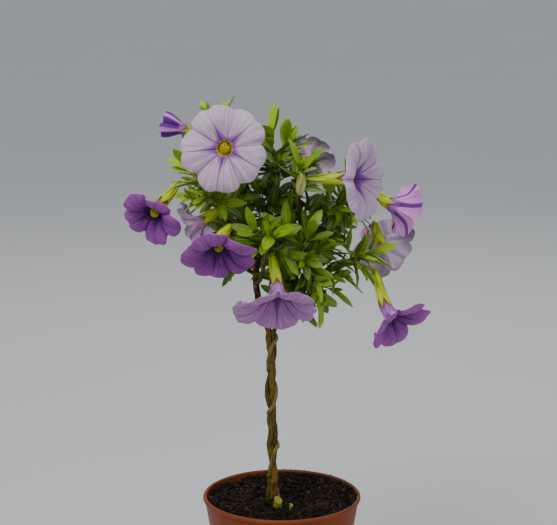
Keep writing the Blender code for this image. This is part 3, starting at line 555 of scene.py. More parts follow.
def add_mesh(name, verts, faces, materials, smooth=True, sharp=None):
    mesh = bpy.data.meshes.new(name)
    mesh.from_pydata(np.asarray(verts, float).reshape(-1, 3).tolist(), [], faces)
    for item in materials if isinstance(materials, list) else [materials]:
        mesh.materials.append(item)
    if smooth:
        mesh.shade_smooth()
    if sharp is not None:
        mesh.set_sharp_from_angle(angle=math.radians(sharp))
    made = bpy.data.objects.new(name, mesh)
    bpy.context.scene.collection.objects.link(made)
    return made


def point_values(item, **layers):
    """Values that the finish reads, one or one vector for each vertex."""
    for name, values in layers.items():
        vectors = isinstance(values[0], Vector)
        layer = item.data.attributes.new(name, "FLOAT_VECTOR" if vectors else "FLOAT", "POINT")
        layer.data.foreach_set("vector" if vectors else "value", np.asarray(values, np.float32).ravel())


def bake_map(item, places):
    """The piece's own map: one (u, v) for each face corner."""
    item.data.uv_layers.new(name="OFBake").uv.foreach_set("vector", np.asarray(places, np.float32).ravel())


def dress(item, slot, *nodes):
    """Fixes a piece to the plant and hides the solids that it stands for."""
    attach(item, "root")
    if nodes:
        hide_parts(*nodes)
    return item


def flat(rings):
    return [point for ring in rings for point in ring]


def ring_faces(ring_count, sides, start=0, tip=False):
    """Faces between rings that follow each other; the far end is closed flat, or drawn to one more point."""
    last = start + (ring_count - 1) * sides
    pairs = [(i, (i + 1) % sides) for i in range(sides)]
    faces = [tuple(reversed(range(start, start + sides)))]
    for low in range(start, last, sides):
        faces += [(low + i, low + j, low + sides + j, low + sides + i) for i, j in pairs]
    if tip:
        return faces + [(last + i, last + j, last + sides) for i, j in pairs]
    return faces + [tuple(range(last, last + sides))]


# ---------------------------------------------------------------- paths


def smooth_line(knots, step):
    """Points about one step apart on a Catmull-Rom curve through the knots."""
    knots = [Vector(knot) for knot in knots]
    ends = [2.0 * knots[0] - knots[1]] + knots + [2.0 * knots[-1] - knots[-2]]
    line = [knots[0]]
    for before, start, end, after in zip(ends, ends[1:], ends[2:], ends[3:]):
        count = max(1, round((end - start).length / step))
        for index in range(1, count + 1):
            t = index / count
            line.append(0.5 * (
                2.0 * start + (end - before) * t
                + (2.0 * before - 5.0 * start + 4.0 * end - after) * t ** 2
                + (3.0 * start - before - 3.0 * end + after) * t ** 3))
    return line


def bezier_line(start, leave, arrive, end, count):
    """Points on the cubic curve with the two handles leave and arrive."""
    line = []
    for index in range(count):
        t = index / (count - 1)
        s = 1.0 - t
        line.append(s ** 3 * start + 3.0 * s * s * t * leave + 3.0 * s * t * t * arrive + t ** 3 * end)
    return line


def tapered(points, thick, thin):
    """A limb along the points, its radius falling evenly from one end to the other."""
    last = len(points) - 1
    return Limb(points, [thick + (thin - thick) * index / last for index in range(last + 1)])


def along_line(line, share):
    """Place and direction at a share of the line."""
    place = min(max(share, 0.0), 0.9999) * (len(line) - 1)
    low = int(place)
    return line[low].lerp(line[low + 1], place - low), (line[low + 1] - line[low]).normalized()


def point_at_height(limb, height):
    """Place, direction and radius of a limb where it passes a height."""
    index = min(range(1, len(limb.points) - 1), key=lambda i: abs(limb.points[i].z - height))
    direction = (limb.points[index + 1] - limb.points[index - 1]).normalized()
    return limb.points[index], direction, limb.radii[index]


def across(direction, hint):
    """The part of hint that is square to direction, as a unit vector."""
    return (hint - direction * hint.dot(direction)).normalized()


def compass(angle):
    return Vector((math.cos(angle), math.sin(angle)))


def toward(turn, first, second):
    """The way at an angle from first, turning to second."""
    return math.cos(turn) * first + math.sin(turn) * second


def turns(sides):
    """Equal turns all round."""
    return [TURN * index / sides for index in range(sides)]


def noise_spot(turn, wide, height, shift=0.0):
    """Where noise is read for a direction round a limb or a flower."""
    return Vector((wide * math.cos(turn) + shift, wide * math.sin(turn), height))


def any_way(rng):
    return Vector([rng.gauss(0.0, 1.0) for _ in range(3)]).normalized()


def winding(height, pitch, front_height):
    """Angle of a wound stem; it stands in front of the plait at front_height."""
    return -math.pi / 2.0 + TURN * (height - front_height) / pitch


def root_flare(height):
    """How much thicker the main stem is at a height near the soil."""
    rise = (height - SOIL_TOP) / ROOT_FLARE_HEIGHT
    return 1.0 + (ROOT_FLARE - 1.0) * min(1.0, max(0.0, 1.0 - rise))


def plait_places(height, plait):
    """Centres of the main, second and third stem at a height; the third passes over the second."""
    share = (height - SOIL_TOP) / (PLAIT_TOP - SOIL_TOP)
    axis = PLAIT_FOOT.lerp(PLAIT_HEAD, share)
    second_angle = winding(height, SECOND_PITCH, SECOND_IN_FRONT)
    third_angle = winding(height, THIRD_PITCH, THIRD_IN_FRONT)
    apart = abs(math.remainder(third_angle - second_angle, TURN))
    over = math.cos(0.5 * math.pi * min(apart / plait.width, 1.0)) ** 2
    flare = root_flare(height) * MAIN_RADIUS[0]
    second_reach = flare + SECOND_RADIUS[0] + plait.clearance
    third_reach = flare + THIRD_RADIUS[0] + plait.clearance
    third_reach += over * (2.0 * SECOND_RADIUS[0] + plait.crossing)
    second = compass(second_angle) * second_reach
    third = compass(third_angle) * third_reach
    main = axis - (second + third) * PLAIT_BALANCE
    return main, main + second, main + third


# ---------------------------------------------------------------- the solids' own growth, step by step


def grow_stems(plait):
    """The three stems of the plait, each from its cut on the soil to its own tip in the crown."""
    stems = {}
    plans = (("main", MAIN_RADIUS, 1.0), ("second", SECOND_RADIUS, 1.0), ("third", THIRD_RADIUS, 0.5))
    foot = SOIL_TOP + GAP
    upright = foot + CUT_RISE
    for which, (name, (thick, thin), finer) in enumerate(plans):
        count = round((PLAIT_TOP - upright) / (finer * plait.step))
        heights = [foot] + [upright + (PLAIT_TOP - upright) * index / count for index in range(count + 1)]
        points = [plait_places(height, plait)[which].to_3d() + UP * height for height in heights]
        points[0].xy = points[1].xy
        head = smooth_line([points[-1]] + [millimetres(knot) for knot in STEM_HEADS[name]], HEAD_STEP)
        stems[name] = tapered(points + head[1:], thick, thin)
    main = stems["main"]
    for index, point in enumerate(main.points):
        main.radii[index] *= root_flare(point.z)
    return stems


def grow_boughs(stems):
    """Each bough leaves its stem square to it and bends up to its far end."""
    boughs = {}
    for name, (stem_name, height, far_end) in BOUGHS.items():
        stem = stems[stem_name]
        end = millimetres(far_end)
        if height:
            place, direction, radius = point_at_height(stem, height * MM)
            outward = across(direction, end - place)
            start = place + outward * (radius + GAP)
        else:
            outward = (stem.points[-1] - stem.points[-2]).normalized()
            start = stem.points[-1] + outward * GAP
        span = (end - start).length
        arrival = ((end - start).normalized() + BOUGH_LIFT * UP).normalized()
        leave = start + outward * BOUGH_HANDLES[0] * span
        arrive = end - arrival * BOUGH_HANDLES[1] * span
        boughs[name] = tapered(bezier_line(start, leave, arrive, end, BOUGH_POINTS), *BOUGH_RADIUS)
    return boughs


def loft(rings):
    """A closed solid through rings of equally many points; the last ring may be a single point."""
    tip = len(rings[-1]) == 1
    return Solid(flat(rings), ring_faces(len(rings) - tip, len(rings[0]), tip=tip))


def circle(centre, direction, radius, hint, sides):
    """Ring of points square to a direction."""
    first = across(direction, hint)
    second = direction.cross(first)
    return [centre + radius * toward(turn, first, second) for turn in turns(sides)]


def tube_solid(limb, sides):
    """A tapering limb of few sides, every ring square to the line from its start to its end."""
    direction = (limb.points[-1] - limb.points[0]).normalized()
    return loft([circle(point, direction, radius, SIDE_HINT, sides) for point, radius in zip(*limb)])


def leaf_section(leaf, share, scale, grow):
    """Left edge, keel and right edge of the solid's blade at a share of its length."""
    side = leaf.along.cross(leaf.facing)
    fall = leaf.droop * leaf.length * share ** 2
    centre = leaf.root + leaf.along * (leaf.length * share) - leaf.facing * fall
    half = (0.5 * leaf.width + grow) * scale
    keel = (LEAF_KEEL * leaf.length + grow) * scale
    lift = leaf.facing * grow
    return [centre + side * half + lift, centre - leaf.facing * keel, centre - side * half + lift]


def leaf_solid(leaf, start=LEAF_ROOT, grow=0.0):
    """The solid's blade, with room all round for clearance tests."""
    sections = [start, LEAF_BELLY]
    if leaf.length > SHORT_LEAF:
        sections.append(LEAF_SHOULDER)
    rings = [leaf_section(leaf, share, scale, grow) for share, scale in sections]
    tip = leaf_section(leaf, 1.0 + grow / leaf.length, 0.0, 0.0)[1]
    return loft(rings + [[tip]])


def flower_axis(flower):
    """The bent line from the calyx to the mouth, and the way the mouth faces."""
    seat = millimetres(flower.seat)
    mouth = millimetres(flower.mouth)
    face = Vector(flower.face).normalized()
    span = (mouth - seat).length
    leave, arrive = AXIS_HANDLES
    return bezier_line(seat, seat.lerp(mouth, leave), mouth - face * arrive * span, mouth, AXIS_POINTS), face


def mouth_axes(flower, face):
    """The way to the first notch between the lobes, and the way square to it in the mouth."""
    first = across(face, UP if abs(face.z) < 0.9 else ALONG_Y)
    first = Matrix.Rotation(math.radians(flower.turn), 3, face) @ first
    return first, face.cross(first)


def tube_place(line, share, turn, radius, first):
    """Point at a distance from a flower's bent line, turned from the way first."""
    place, direction = along_line(line, share)
    sideways = across(direction, first)
    return place + radius * toward(turn, sideways, direction.cross(sideways))


def flower_solid(flower):
    """The solid's calyx, tube and lobes, which leaves keep clear of."""
    line, face = flower_axis(flower)
    mouth = line[-1]
    points = list(enumerate(turns(LOBES * POINTS_PER_LOBE)))
    first, second = mouth_axes(flower, face)
    cup = math.radians(flower.cup)
    reach = flower.reach * MM
    size = min(1.0, reach / FULL_REACH)
    inner = THROAT_RADIUS * size

    def tube_ring(radius, notch, tip):
        return [
            tube_place(line, tip if i % POINTS_PER_LOBE else notch, turn, radius * size, first)
            for i, turn in points]

    def lobe_ring(share, angle, back):
        ring = []
        for i, turn in points:
            outline = reach * (1.0 + (LOBE_OUTLINE[i % POINTS_PER_LOBE] - 1.0) * share)
            out = inner + (outline - inner) * share * math.cos(angle)
            forward = (outline - inner) * share * math.sin(angle) - back
            ring.append(mouth + toward(turn, first, second) * out + face * forward)
        return ring

    throat, _ = along_line(line, 1.0 - THROAT_DEPTH * size / (mouth - line[0]).length)
    return loft([
        tube_ring(CALYX_FOOT_RADIUS, 0.0, 0.0),
        tube_ring(CALYX_RIM_RADIUS, CALYX_NOTCH, CALYX_TIP),
        tube_ring(TUBE_RADIUS, TUBE_START, TUBE_START),
        [mouth + (point - mouth) * THROAT_OUTSIDE for point in lobe_ring(0.0, cup, SOLID_PETAL)],
        lobe_ring(1.0, cup, 0.0),
        lobe_ring(LOBE_MIDDLE, cup + LOBE_ARCH, 0.0),
        lobe_ring(0.0, cup, 0.0),
        [throat],
    ])


def twig_to(start, leave, end, thick, thin):
    """A twig that sets off in one direction and curves to its end."""
    span = (end - start).length
    arrive = end.lerp(start, TWIG_HANDLE)
    line = bezier_line(start, start + leave * TWIG_HANDLE * span, arrive, end, TWIG_POINTS)
    return tapered(line, thick, thin)


def grow_twigs(name, boughs, crown_centre):
    """The mass's own stem, its leading and filling shoots, and a stalk to each flower."""
    mass = MASSES[name]
    rng = random.Random(f"foliage_{name} twigs")
    bough = boughs[name]
    heading = (bough.points[-1] - bough.points[-2]).normalized()
    hub = millimetres(mass.hub)
    stem = twig_to(bough.points[-1] + heading * GAP, heading, hub, BOUGH_RADIUS[1], TWIG_RADIUS[0])
    shoots = []
    for tip, leaf_length in mass.shoots:
        begin = stem.points[-2].lerp(hub, rng.uniform(0.2, 0.9))
        shoots.append((twig_to(begin, heading, millimetres(tip), *TWIG_RADIUS), leaf_length * MM))
    outward = (hub - crown_centre).normalized()
    for _ in range(mass.fill):
        direction = (outward + FILL_SPREAD * any_way(rng)).normalized()
        tip = hub + direction * mass.reach * MM * rng.uniform(0.7, 1.0)
        begin = stem.points[-2].lerp(hub, rng.uniform(0.0, 0.6))
        shoots.append((twig_to(begin, heading, tip, *TWIG_RADIUS), rng.uniform(*FILL_LEAF)))
    stalks = []
    for flower in FLOWERS.values():
        if flower.mass == name:
            line, _ = flower_axis(flower)
            sources = [shoot.points[1] for shoot, _ in shoots] + [hub]
            source = min(sources, key=lambda point: (point - line[0]).length)
            inside = line[0].lerp(line[1], 0.5)
            stalks.append(twig_to(source, heading, inside, STALK_RADIUS, STALK_RADIUS))
    if name == BUD_MASS:
        top = millimetres(BUD_TOP)
        source = min((shoot.points[-2] for shoot, _ in shoots), key=lambda point: (point - top).length)
        stalks.append(twig_to(source, UP, top - UP * BUD_SEAT_DEPTH, STALK_RADIUS, STALK_RADIUS))
    return stem, shoots, stalks


def leaf_on_shoot(shoot, share, turn, lean, length, droop):
    """A leaf a share of the way up a shoot, turned round it and leaning from it."""
    points = shoot.points
    place = share * (len(points) - 1)
    low = min(int(place), len(points) - 2)
    root = points[low].lerp(points[low + 1], place - low)
    axis = (points[low + 1] - points[low]).normalized()
    outward = Matrix.Rotation(turn, 3, axis) @ across(axis, SIDE_HINT)
    along = (axis * math.cos(lean) + outward * math.sin(lean)).normalized()
    facing = across(along, axis * math.sin(lean) - outward * math.cos(lean) + SUNWARD * UP)
    return Leaf(root, along, facing, length, LEAF_WIDTH * length, droop)


def shoot_leaves(shoot, leaf_length, rng):
    """Leaf places up a shoot in a spiral: spreading and long below, erect and short at the tip."""
    phase = rng.uniform(0.0, TURN)
    for index in range(LEAVES_PER_SHOOT):
        share = index / (LEAVES_PER_SHOOT - 1)
        place = LEAF_REACH[0] + (LEAF_REACH[1] - LEAF_REACH[0]) * share ** LEAF_CROWDING
        lean = LEAF_SPREADING + (LEAF_ERECT - LEAF_SPREADING) * share
        length = leaf_length * (1.0 - LEAF_TIP_LOSS * share ** 2) * rng.uniform(*LEAF_SIZES)
        for attempt in range(LEAF_TRIES):
            turn = phase + index * GOLDEN_ANGLE + TRY_TURN * attempt * (-1) ** attempt
            size = length * (1.0 - TRY_SHRINK * attempt)
            leaf = leaf_on_shoot(shoot, place, turn, lean, size, LEAF_DROOP * (1.0 - share))
            yield index, share, leaf


def tree_of(solid):
    return BVHTree.FromPolygons(solid.verts, solid.faces)


def touches(solid, trees):
    own = tree_of(solid)
    return any(own.overlap(tree) for tree in trees)


def settle(shoots, candidates, blooms, others, own_trees, rng, start, clearance):
    """The first candidate for each leaf that finds room, with its share of the way up its shoot.

    A leaf keeps clear of others from start, and of blooms and the mass's own leaves by its free part.
    """
    kept = []
    for shoot, leaf_length in shoots:
        done = set()
        for index, share, leaf in candidates(shoot, leaf_length, rng):
            if index in done or touches(leaf_solid(leaf, start, clearance), others):
                continue
            if touches(leaf_solid(leaf, LEAF_FREE, clearance), blooms + own_trees):
                continue
            done.add(index)
            kept.append((leaf, share))
            own_trees.append(tree_of(leaf_solid(leaf, LEAF_FREE)))
    return kept


# ---------------------------------------------------------------- bark

LIMB_STEP = 0.8 * MM
TWIG_STEP = 1.6 * MM
BARK_SIDES = 18
SCARRED = 0.34
STEM_SWELL = 1.06
BOUGH_SWELL = 1.1
SUNK = 1.6 * MM


def refined(limb, step, swell=1.0, sunk=0.0, thin=1.0):
    """The same limb with points close together, thickened, and begun a little inside what bears it."""
    points = smooth_line(limb.points, step)
    spans = [max(1, round((b - a).length / step)) for a, b in zip(limb.points, limb.points[1:])]
    radii = [limb.radii[0]]
    for span, low, high in zip(spans, limb.radii, limb.radii[1:]):
        radii += [low + (high - low) * (index + 1) / span for index in range(span)]
    last = len(radii) - 1
    radii = [swell * radius * (1.0 + (thin - 1.0) * index / last) for index, radius in enumerate(radii)]
    if sunk:
        back = (points[0] - points[1]).normalized()
        points.insert(0, points[0] + back * sunk)
        radii.insert(0, radii[0])
    return Limb(points, radii)


def frames_along(points):
    """Side and upright unit vectors at each point, carried along the line without twist."""
    sides, uprights = [], []
    direction = (points[1] - points[0]).normalized()
    side = across(direction, SIDE_HINT)
    for index in range(len(points)):
        after = points[min(index + 1, len(points) - 1)]
        before = points[max(index - 1, 0)]
        direction = (after - before).normalized()
        side = across(direction, side)
        sides.append(side)
        uprights.append(direction.cross(side))
    return sides, uprights


def tube_rings(limb, sides, relief=None):
    """Rings of points round a limb. relief(index, turn) gives how far the bark stands out there."""
    rings = []
    for index, (point, radius, side, up) in enumerate(zip(*limb, *frames_along(limb.points))):
        outs = [radius + (relief(index, turn) if relief else 0.0) for turn in turns(sides)]
        rings.append([point + toward(turn, side, up) * out for turn, out in zip(turns(sides), outs)])
    return rings


def strip_map(faces, sides, ring_count, rows, start=0, low=0.0, high=1.0):
    """Map places of a tube's faces: its length cut into rows of strips between two heights of the map."""
    per_row = (ring_count - 1) / rows
    places = []
    tall = (high - low) / rows
    for face in faces:
        local = [index - start for index in face]
        if len(face) != 4:
            places += [(0.001 + 0.0005 * i, low + 0.001) for i in range(len(face))]
            continue
        ring = min(index // sides for index in local)
        row = min(int(ring / per_row), rows - 1)
        first = min(index % sides for index in local)
        wraps = max(index % sides for index in local) - first > 1
        for index in local:
            side = index % sides
            if wraps and side == 0:
                side = sides
            u = (index // sides - row * per_row) / per_row
            v = low + tall * (row + 0.04 + 0.92 * side / sides)
            places.append((0.002 + 0.996 * min(max(u, 0.0), 1.0), v))
    return places


def bark_relief(limb, rng, ridge, knot_gap, knot_size):
    """Ridges that run with the limb, swellings where leaves stood, and their scars."""
    lengths = [0.0]
    for before, after in zip(limb.points, limb.points[1:]):
        lengths.append(lengths[-1] + (after - before).length)
    knots = []
    reach = knot_gap
    angle = rng.uniform(0.0, TURN)
    for length, point in zip(lengths, limb.points):
        if length >= reach:
            knots.append((reach, angle))
            reach += knot_gap * rng.uniform(0.7, 1.3) * (SCARRED if point.z > PLAIT_TOP + 9.0 * MM else 1.0)
            angle += GOLDEN_ANGLE
    seed = rng.uniform(0.0, 50.0)

    def scar_at(index, turn):
        strongest = 0.0
        for place, side in knots:
            gap = (lengths[index] - place) / (0.9 * MM)
            if abs(gap) < 3.0:
                aside = math.remainder(turn - side, TURN) / 0.55
                strongest = max(strongest, math.exp(-gap * gap - aside * aside))
        return strongest

    def ridge_at(index, turn):
        broad = noise.noise(noise_spot(turn, 2.1, lengths[index] * 95.0 + seed))
        return broad + 0.5 * noise.noise(noise_spot(turn, 5.0, lengths[index] * 330.0 + seed))

    def relief(index, turn):
        swell = 0.0
        for place, side in knots:
            gap = (lengths[index] - place) / (2.4 * MM)
            if abs(gap) < 3.0:
                swell += math.exp(-gap * gap) * (0.55 + 0.45 * math.cos(turn - side))
        return ridge * ridge_at(index, turn) + knot_size * (0.5 * swell + scar_at(index, turn))

    return relief, ridge_at, scar_at


def bark_piece(name, limb, material, seed, ridge, knot_gap, knot_size, low_z, high_z, rows):
    rng = random.Random(seed)
    relief, ridge_at, scar_at = bark_relief(limb, rng, ridge, knot_gap, knot_size)
    faces = ring_faces(len(limb.points), BARK_SIDES)
    piece = add_mesh(name, flat(tube_rings(limb, BARK_SIDES, relief)), faces, material, sharp=BARK_CREASE)
    spots = [(index, turn) for index in range(len(limb.points)) for turn in turns(BARK_SIDES)]
    point_values(
        piece,
        rise=[min(max((limb.points[index].z - low_z) / (high_z - low_z), 0.0), 1.0) for index, _ in spots],
        scar=[scar_at(*spot) for spot in spots],
        # Painted shade in the furrows, where the ridges sink.
        furrow=[max(0.0, -1.6 * ridge_at(*spot)) for spot in spots])
    bake_map(piece, strip_map(faces, BARK_SIDES, len(limb.points), rows))
    return piece


def joined_tubes(name, limbs, material, sides, rises, rows=1):
    """Many limbs in one piece; rises gives the value of the attribute rise at each limb's two ends."""
    verts, faces, places, rise = [], [], [], []
    for number, limb in enumerate(limbs):
        rings = tube_rings(limb, sides)
        start = len(verts)
        own = ring_faces(len(rings), sides, start)
        low, high = number / len(limbs), (number + 0.9) / len(limbs)
        places += strip_map(own, sides, len(rings), rows, start, low, high)
        verts += flat(rings)
        faces += own
        first, last = rises[number]
        for index in range(len(rings)):
            rise += [first + (last - first) * index / (len(rings) - 1)] * sides
    piece = add_mesh(name, verts, faces, material, sharp=BARK_CREASE)
    point_values(piece, rise=rise)
    bake_map(piece, places)
    return piece


# ---------------------------------------------------------------- leaves and sepals

BLADE_STATIONS = (0.0, 0.05, 0.12, 0.21, 0.31, 0.42, 0.53, 0.64, 0.75, 0.85, 0.93, 0.98)
BLADE_RING = 8
BLADE_ACROSS = (-1.0, -0.5, 0.0, 0.5, 1.0, 0.5, 0.0, -0.5)
BLADE_UNDER = (0.0, 0.0, 0.0, 0.0, 0.0, 1.0, 1.0, 1.0)
STALK_SHARE = 0.13
FULLEST_BLADE = 0.3309
SLENDER = 0.88
BLADE_THICKNESS = 0.32 * MM
BLADE_FOLD = math.radians(15.0)
RIB_DEPTH = 0.16 * MM
RIB_BULGE = 0.016
EXTRA_LEAVES = 4
TIP_LEAVES = 2
EXTRA_SIZES = (0.62, 0.95)
TIP_SIZES = (0.25, 0.45)
EXTRA_CLEARANCE = 0.15 * MM
CLEAR_BLOOMS = ("left_low",)
CLEAR_WINDOW = 12.0 * MM
TIP_LEAN = math.radians(20.0)
SIDE_SHOOTS = 10
SIDE_SHOOT_PLACES = (0.30, 0.98)
SIDE_SHOOT_REACH = (8.0 * MM, 15.0 * MM)
SIDE_SHOOT_RADIUS = (0.55 * MM, 0.4 * MM)
SIDE_LEAF = (18.0 * MM, 26.0 * MM)
BARE_BOUGHS = ("front",)
OUTWARD_ROLL = 0.6


def blade_width(share):
    """Half width of a blade against its fullest: a narrow stalk, widest past the middle, blunt at the tip."""
    shape = share ** 0.85 * (1.0 - share) ** 0.75 / FULLEST_BLADE
    return STALK_SHARE * (1.0 - share) + (1.0 - STALK_SHARE) * shape


def blade_ring(centre, side, up, half, fold, ripple, bulge):
    """Eight points round a folded blade: edge, top over to the other edge, and back below."""
    out = math.cos(fold) * half
    rise = math.sin(fold) * half
    thick = min(BLADE_THICKNESS, 0.5 * half)
    middle = 0.52 * rise + 0.06 * half
    left, right = ripple
    return [
        centre - side * out + up * (rise + left),
        centre - side * out * 0.52 + up * (middle + 0.5 * left),
        centre - up * RIB_DEPTH,
        centre + side * out * 0.52 + up * (middle + 0.5 * right),
        centre + side * out + up * (rise + right),
        centre + side * out * 0.50 + up * (middle + 0.5 * right - thick),
        centre - up * (thick + bulge),
        centre - side * out * 0.50 + up * (middle + 0.5 * left - thick),
    ]


def turned_out(leaf, centre):
    """The leaf rolled on its own line so that its blade looks out of the crown."""
    outward = (leaf.root + leaf.along * leaf.length - centre).normalized()
    return leaf._replace(facing=across(leaf.along, leaf.facing + OUTWARD_ROLL * outward))


def pointed(rings):
    """The rings of a blade, the last one drawn together into its tip."""
    return rings[:-1] + [[rings[-1][0].lerp(rings[-1][4], 0.5)]]


def leaf_rings(leaf, rng):
    """Rings of points from the leaf's stalk to near its tip, and the tip."""
    side = leaf.along.cross(leaf.facing)
    twist = rng.gauss(0.0, 0.22)
    sway = rng.gauss(0.0, 0.035) * leaf.length
    phase = rng.uniform(0.0, TURN)
    fold = BLADE_FOLD * rng.uniform(0.6, 1.35)
    tip_fall = rng.uniform(-0.02, 0.07) * leaf.length
    rings = []
    for share in BLADE_STATIONS + (1.0,):
        fall = leaf.droop * leaf.length * share ** 2 + tip_fall * share ** 4
        centre = leaf.root + leaf.along * (leaf.length * share) - leaf.facing * fall
        centre += side * (sway * share ** 2)
        turned = Matrix.Rotation(twist * share, 3, leaf.along)
        half = 0.5 * SLENDER * leaf.width * blade_width(share)
        ripple = [0.10 * half * math.sin(8.0 * share + phase + shift) for shift in (0.0, 2.1)]
        folded = fold * (1.15 - 0.5 * share)
        bulge = RIB_BULGE * leaf.length * (1.0 - share)
        rings.append(blade_ring(centre, turned @ side, turned @ leaf.facing, half, folded, ripple, bulge))
    return pointed(rings)


def extra_leaves(shoot, leaf_length, rng):
    """Smaller leaves between the solids' own, and a tuft of young ones at the tip."""
    phase = rng.uniform(0.0, TURN)
    for index in range(EXTRA_LEAVES + TIP_LEAVES):
        at_tip = index >= EXTRA_LEAVES
        share = 1.0 if at_tip else (index + 0.6) / EXTRA_LEAVES
        if at_tip:
            place = rng.uniform(0.93, 0.99)
            lean = TIP_LEAN * rng.uniform(0.5, 1.6)
        else:
            place = 0.25 + 0.7 * share
            lean = LEAF_SPREADING + (LEAF_ERECT - LEAF_SPREADING) * share
        length = leaf_length * rng.uniform(*(TIP_SIZES if at_tip else EXTRA_SIZES))
        turn = phase + index * GOLDEN_ANGLE
        for attempt in range(LEAF_TRIES):
            size = length * (1.0 - 0.12 * attempt)
            yield index, share, leaf_on_shoot(shoot, place, turn + 0.7 * attempt, lean, size, 0.05)


def side_shoots(bough, blooms, rng):
    """Short leafy shoots all round a bough, finer than the masses' own."""
    phase = rng.uniform(0.0, TURN)
    low, high = SIDE_SHOOT_PLACES
    found = []
    for index in range(SIDE_SHOOTS):
        start, direction = along_line(bough.points, low + (high - low) * index / (SIDE_SHOOTS - 1))
        outward = Matrix.Rotation(phase + index * GOLDEN_ANGLE, 3, direction) @ across(direction, SIDE_HINT)
        heading = (outward + 0.4 * direction + 0.2 * UP).normalized()
        shoot = twig_to(start, outward, start + heading * rng.uniform(*SIDE_SHOOT_REACH), *SIDE_SHOOT_RADIUS)
        leaf_length = rng.uniform(*SIDE_LEAF)
        if not touches(tube_solid(shoot, TWIG_SIDES), blooms):
            found.append((shoot, leaf_length))
    return found


def covers_bloom(leaf):
    """True if the leaf hangs before one of the blooms that the photo shows between the leaves."""
    middle = leaf.root + leaf.along * 0.5 * leaf.length
    offs = [
        middle - millimetres(FLOWERS[name].mouth).lerp(millimetres(FLOWERS[name].seat), 0.35)
        for name in CLEAR_BLOOMS]
    return any(off.y < 0.0 and math.hypot(off.x, off.z) < CLEAR_WINDOW for off in offs)


def youth_of(leaf, share, centre, rng):
    """0 for an old leaf deep in the crown, 1 for a new one at its edge. The value also carries painted light:
    leaves that face up or stand high in the crown are painted brighter, and those deep inside darker as
    painted shade.
    """
    middle = leaf.root + leaf.along * 0.6 * leaf.length
    outness = min(1.0, (middle - centre).length / CROWN_REACH)
    # Partly real age, partly painted light: the place up the shoot and out in the crown gives age; facing up
    # and standing high is painted brighter, and deep inside is also painted shade.
    sunny = 0.5 + 0.5 * leaf.facing.z
    high = min(1.0, max(0.0, 0.5 + 0.5 * (middle - centre).z / CROWN_REACH))
    value = 0.36 * share ** 1.5 + (0.42 + 0.46 * high) * outness ** 2.3 + 0.20 * sunny - 0.10
    value += rng.gauss(0.0, 0.08)
    return min(1.0, max(0.0, value))


def blade_map():
    """One blade's places in its cell of the map, with its top in one half and its underside in the other."""
    places = [Vector((0.01, 0.01 + 0.002 * i)) for i in range(BLADE_RING)]
    for low, high in zip(BLADE_STATIONS, BLADE_STATIONS[1:] + (1.0,)):
        for i in range(BLADE_RING):
            near, shift = ((i, i + 1), 0.0) if i < 4 else ((8 - i, 7 - i), 0.5)
            lows, highs = (
                [Vector((0.04 + 0.92 * share, shift + 0.02 + 0.46 * (v / 4.0))) for v in near]
                for share in (low, high))
            places += lows + (highs[::-1] if high < 1.0 else [Vector((0.96, shift + 0.25))])
    return places


def blades_piece(name, blades, material):
    """Joined blades, each with its own cell of the map. blades holds pairs of rings and a value for the leaf's
    age and painted light.
    """
    verts, faces, places, youth = [], [], [], []
    columns = math.ceil(math.sqrt(len(blades)))
    cell = 1.0 / columns
    rows = len(BLADE_STATIONS)
    own_places = blade_map()
    for number, (rings, value) in enumerate(blades):
        faces += ring_faces(rows, BLADE_RING, len(verts), tip=True)
        verts += flat(rings)
        youth += [value] * (rows * BLADE_RING + 1)
        corner = Vector((number % columns, number // columns)) * cell
        places += [corner + place * cell for place in own_places]
    piece = add_mesh(name, verts, faces, material, sharp=BLADE_CREASE)
    point_values(
        piece,
        along=([share for share in BLADE_STATIONS for _ in range(BLADE_RING)] + [1.0]) * len(blades),
        across=(list(BLADE_ACROSS) * rows + [0.0]) * len(blades),
        under=(list(BLADE_UNDER) * rows + [0.0]) * len(blades),
        youth=youth)
    bake_map(piece, places)
    return piece


# ---------------------------------------------------------------- flowers

PETAL_SIDES = 120
PETAL_ROWS = 20
TUBE_ROWS = 14
THROAT_ROWS = 8
THIN_PETAL = 0.32 * MM
MOUTH_ROUNDING = 1.3 * MM
NOTCH_POWER = 3.6
FOLDED_POWER = 1.5
FOLDED_CUP = 45
TIP_DIP = 0.03
GROOVE_DEPTH = 0.35 * MM
CREASE_DEPTH = 1.5 * MM
LOBE_BULGE = 1.0 * MM
RUFFLE = 2.2 * MM
CRUMPLE = 0.70 * MM
UNEVEN_RIM = 0.05
OVERLAP = 1.2 * MM
FOLD_DEPTH = 4.6 * MM
FOLD_RIDGE = 0.26
FOLDED_BAND = 2.7
TUBE_FOOT = 1.3 * MM
THROAT_SHARE = 0.24
SEPAL_REACH = 0.87
SEPAL_HALF_WIDTH = 3.4 * MM
POLLEN_GRAINS = 20
POLLEN_BALL = 2.7 * MM
POLLEN_GRAIN = 1.0 * MM
POLLEN_DEPTH = 0.8 * MM
DEEP_BALL = 0.45
DEEP_THROATS = ("top_right",)
RECEPTACLE = ((-0.10, 0.75), (-0.02, 1.35), (0.04, 1.75), (0.10, 1.70), (0.16, 1.25))
BUD_SIDES = 40
BUD_ROWS = 26
BUD_TWIST = 0.9


def tube_radius(share, size):
    """Outer radius of the trumpet's tube from the calyx to the mouth."""
    return size * (TUBE_FOOT + (THROAT_RADIUS + THIN_PETAL - TUBE_FOOT) * max(share, 0.0) ** 1.25)


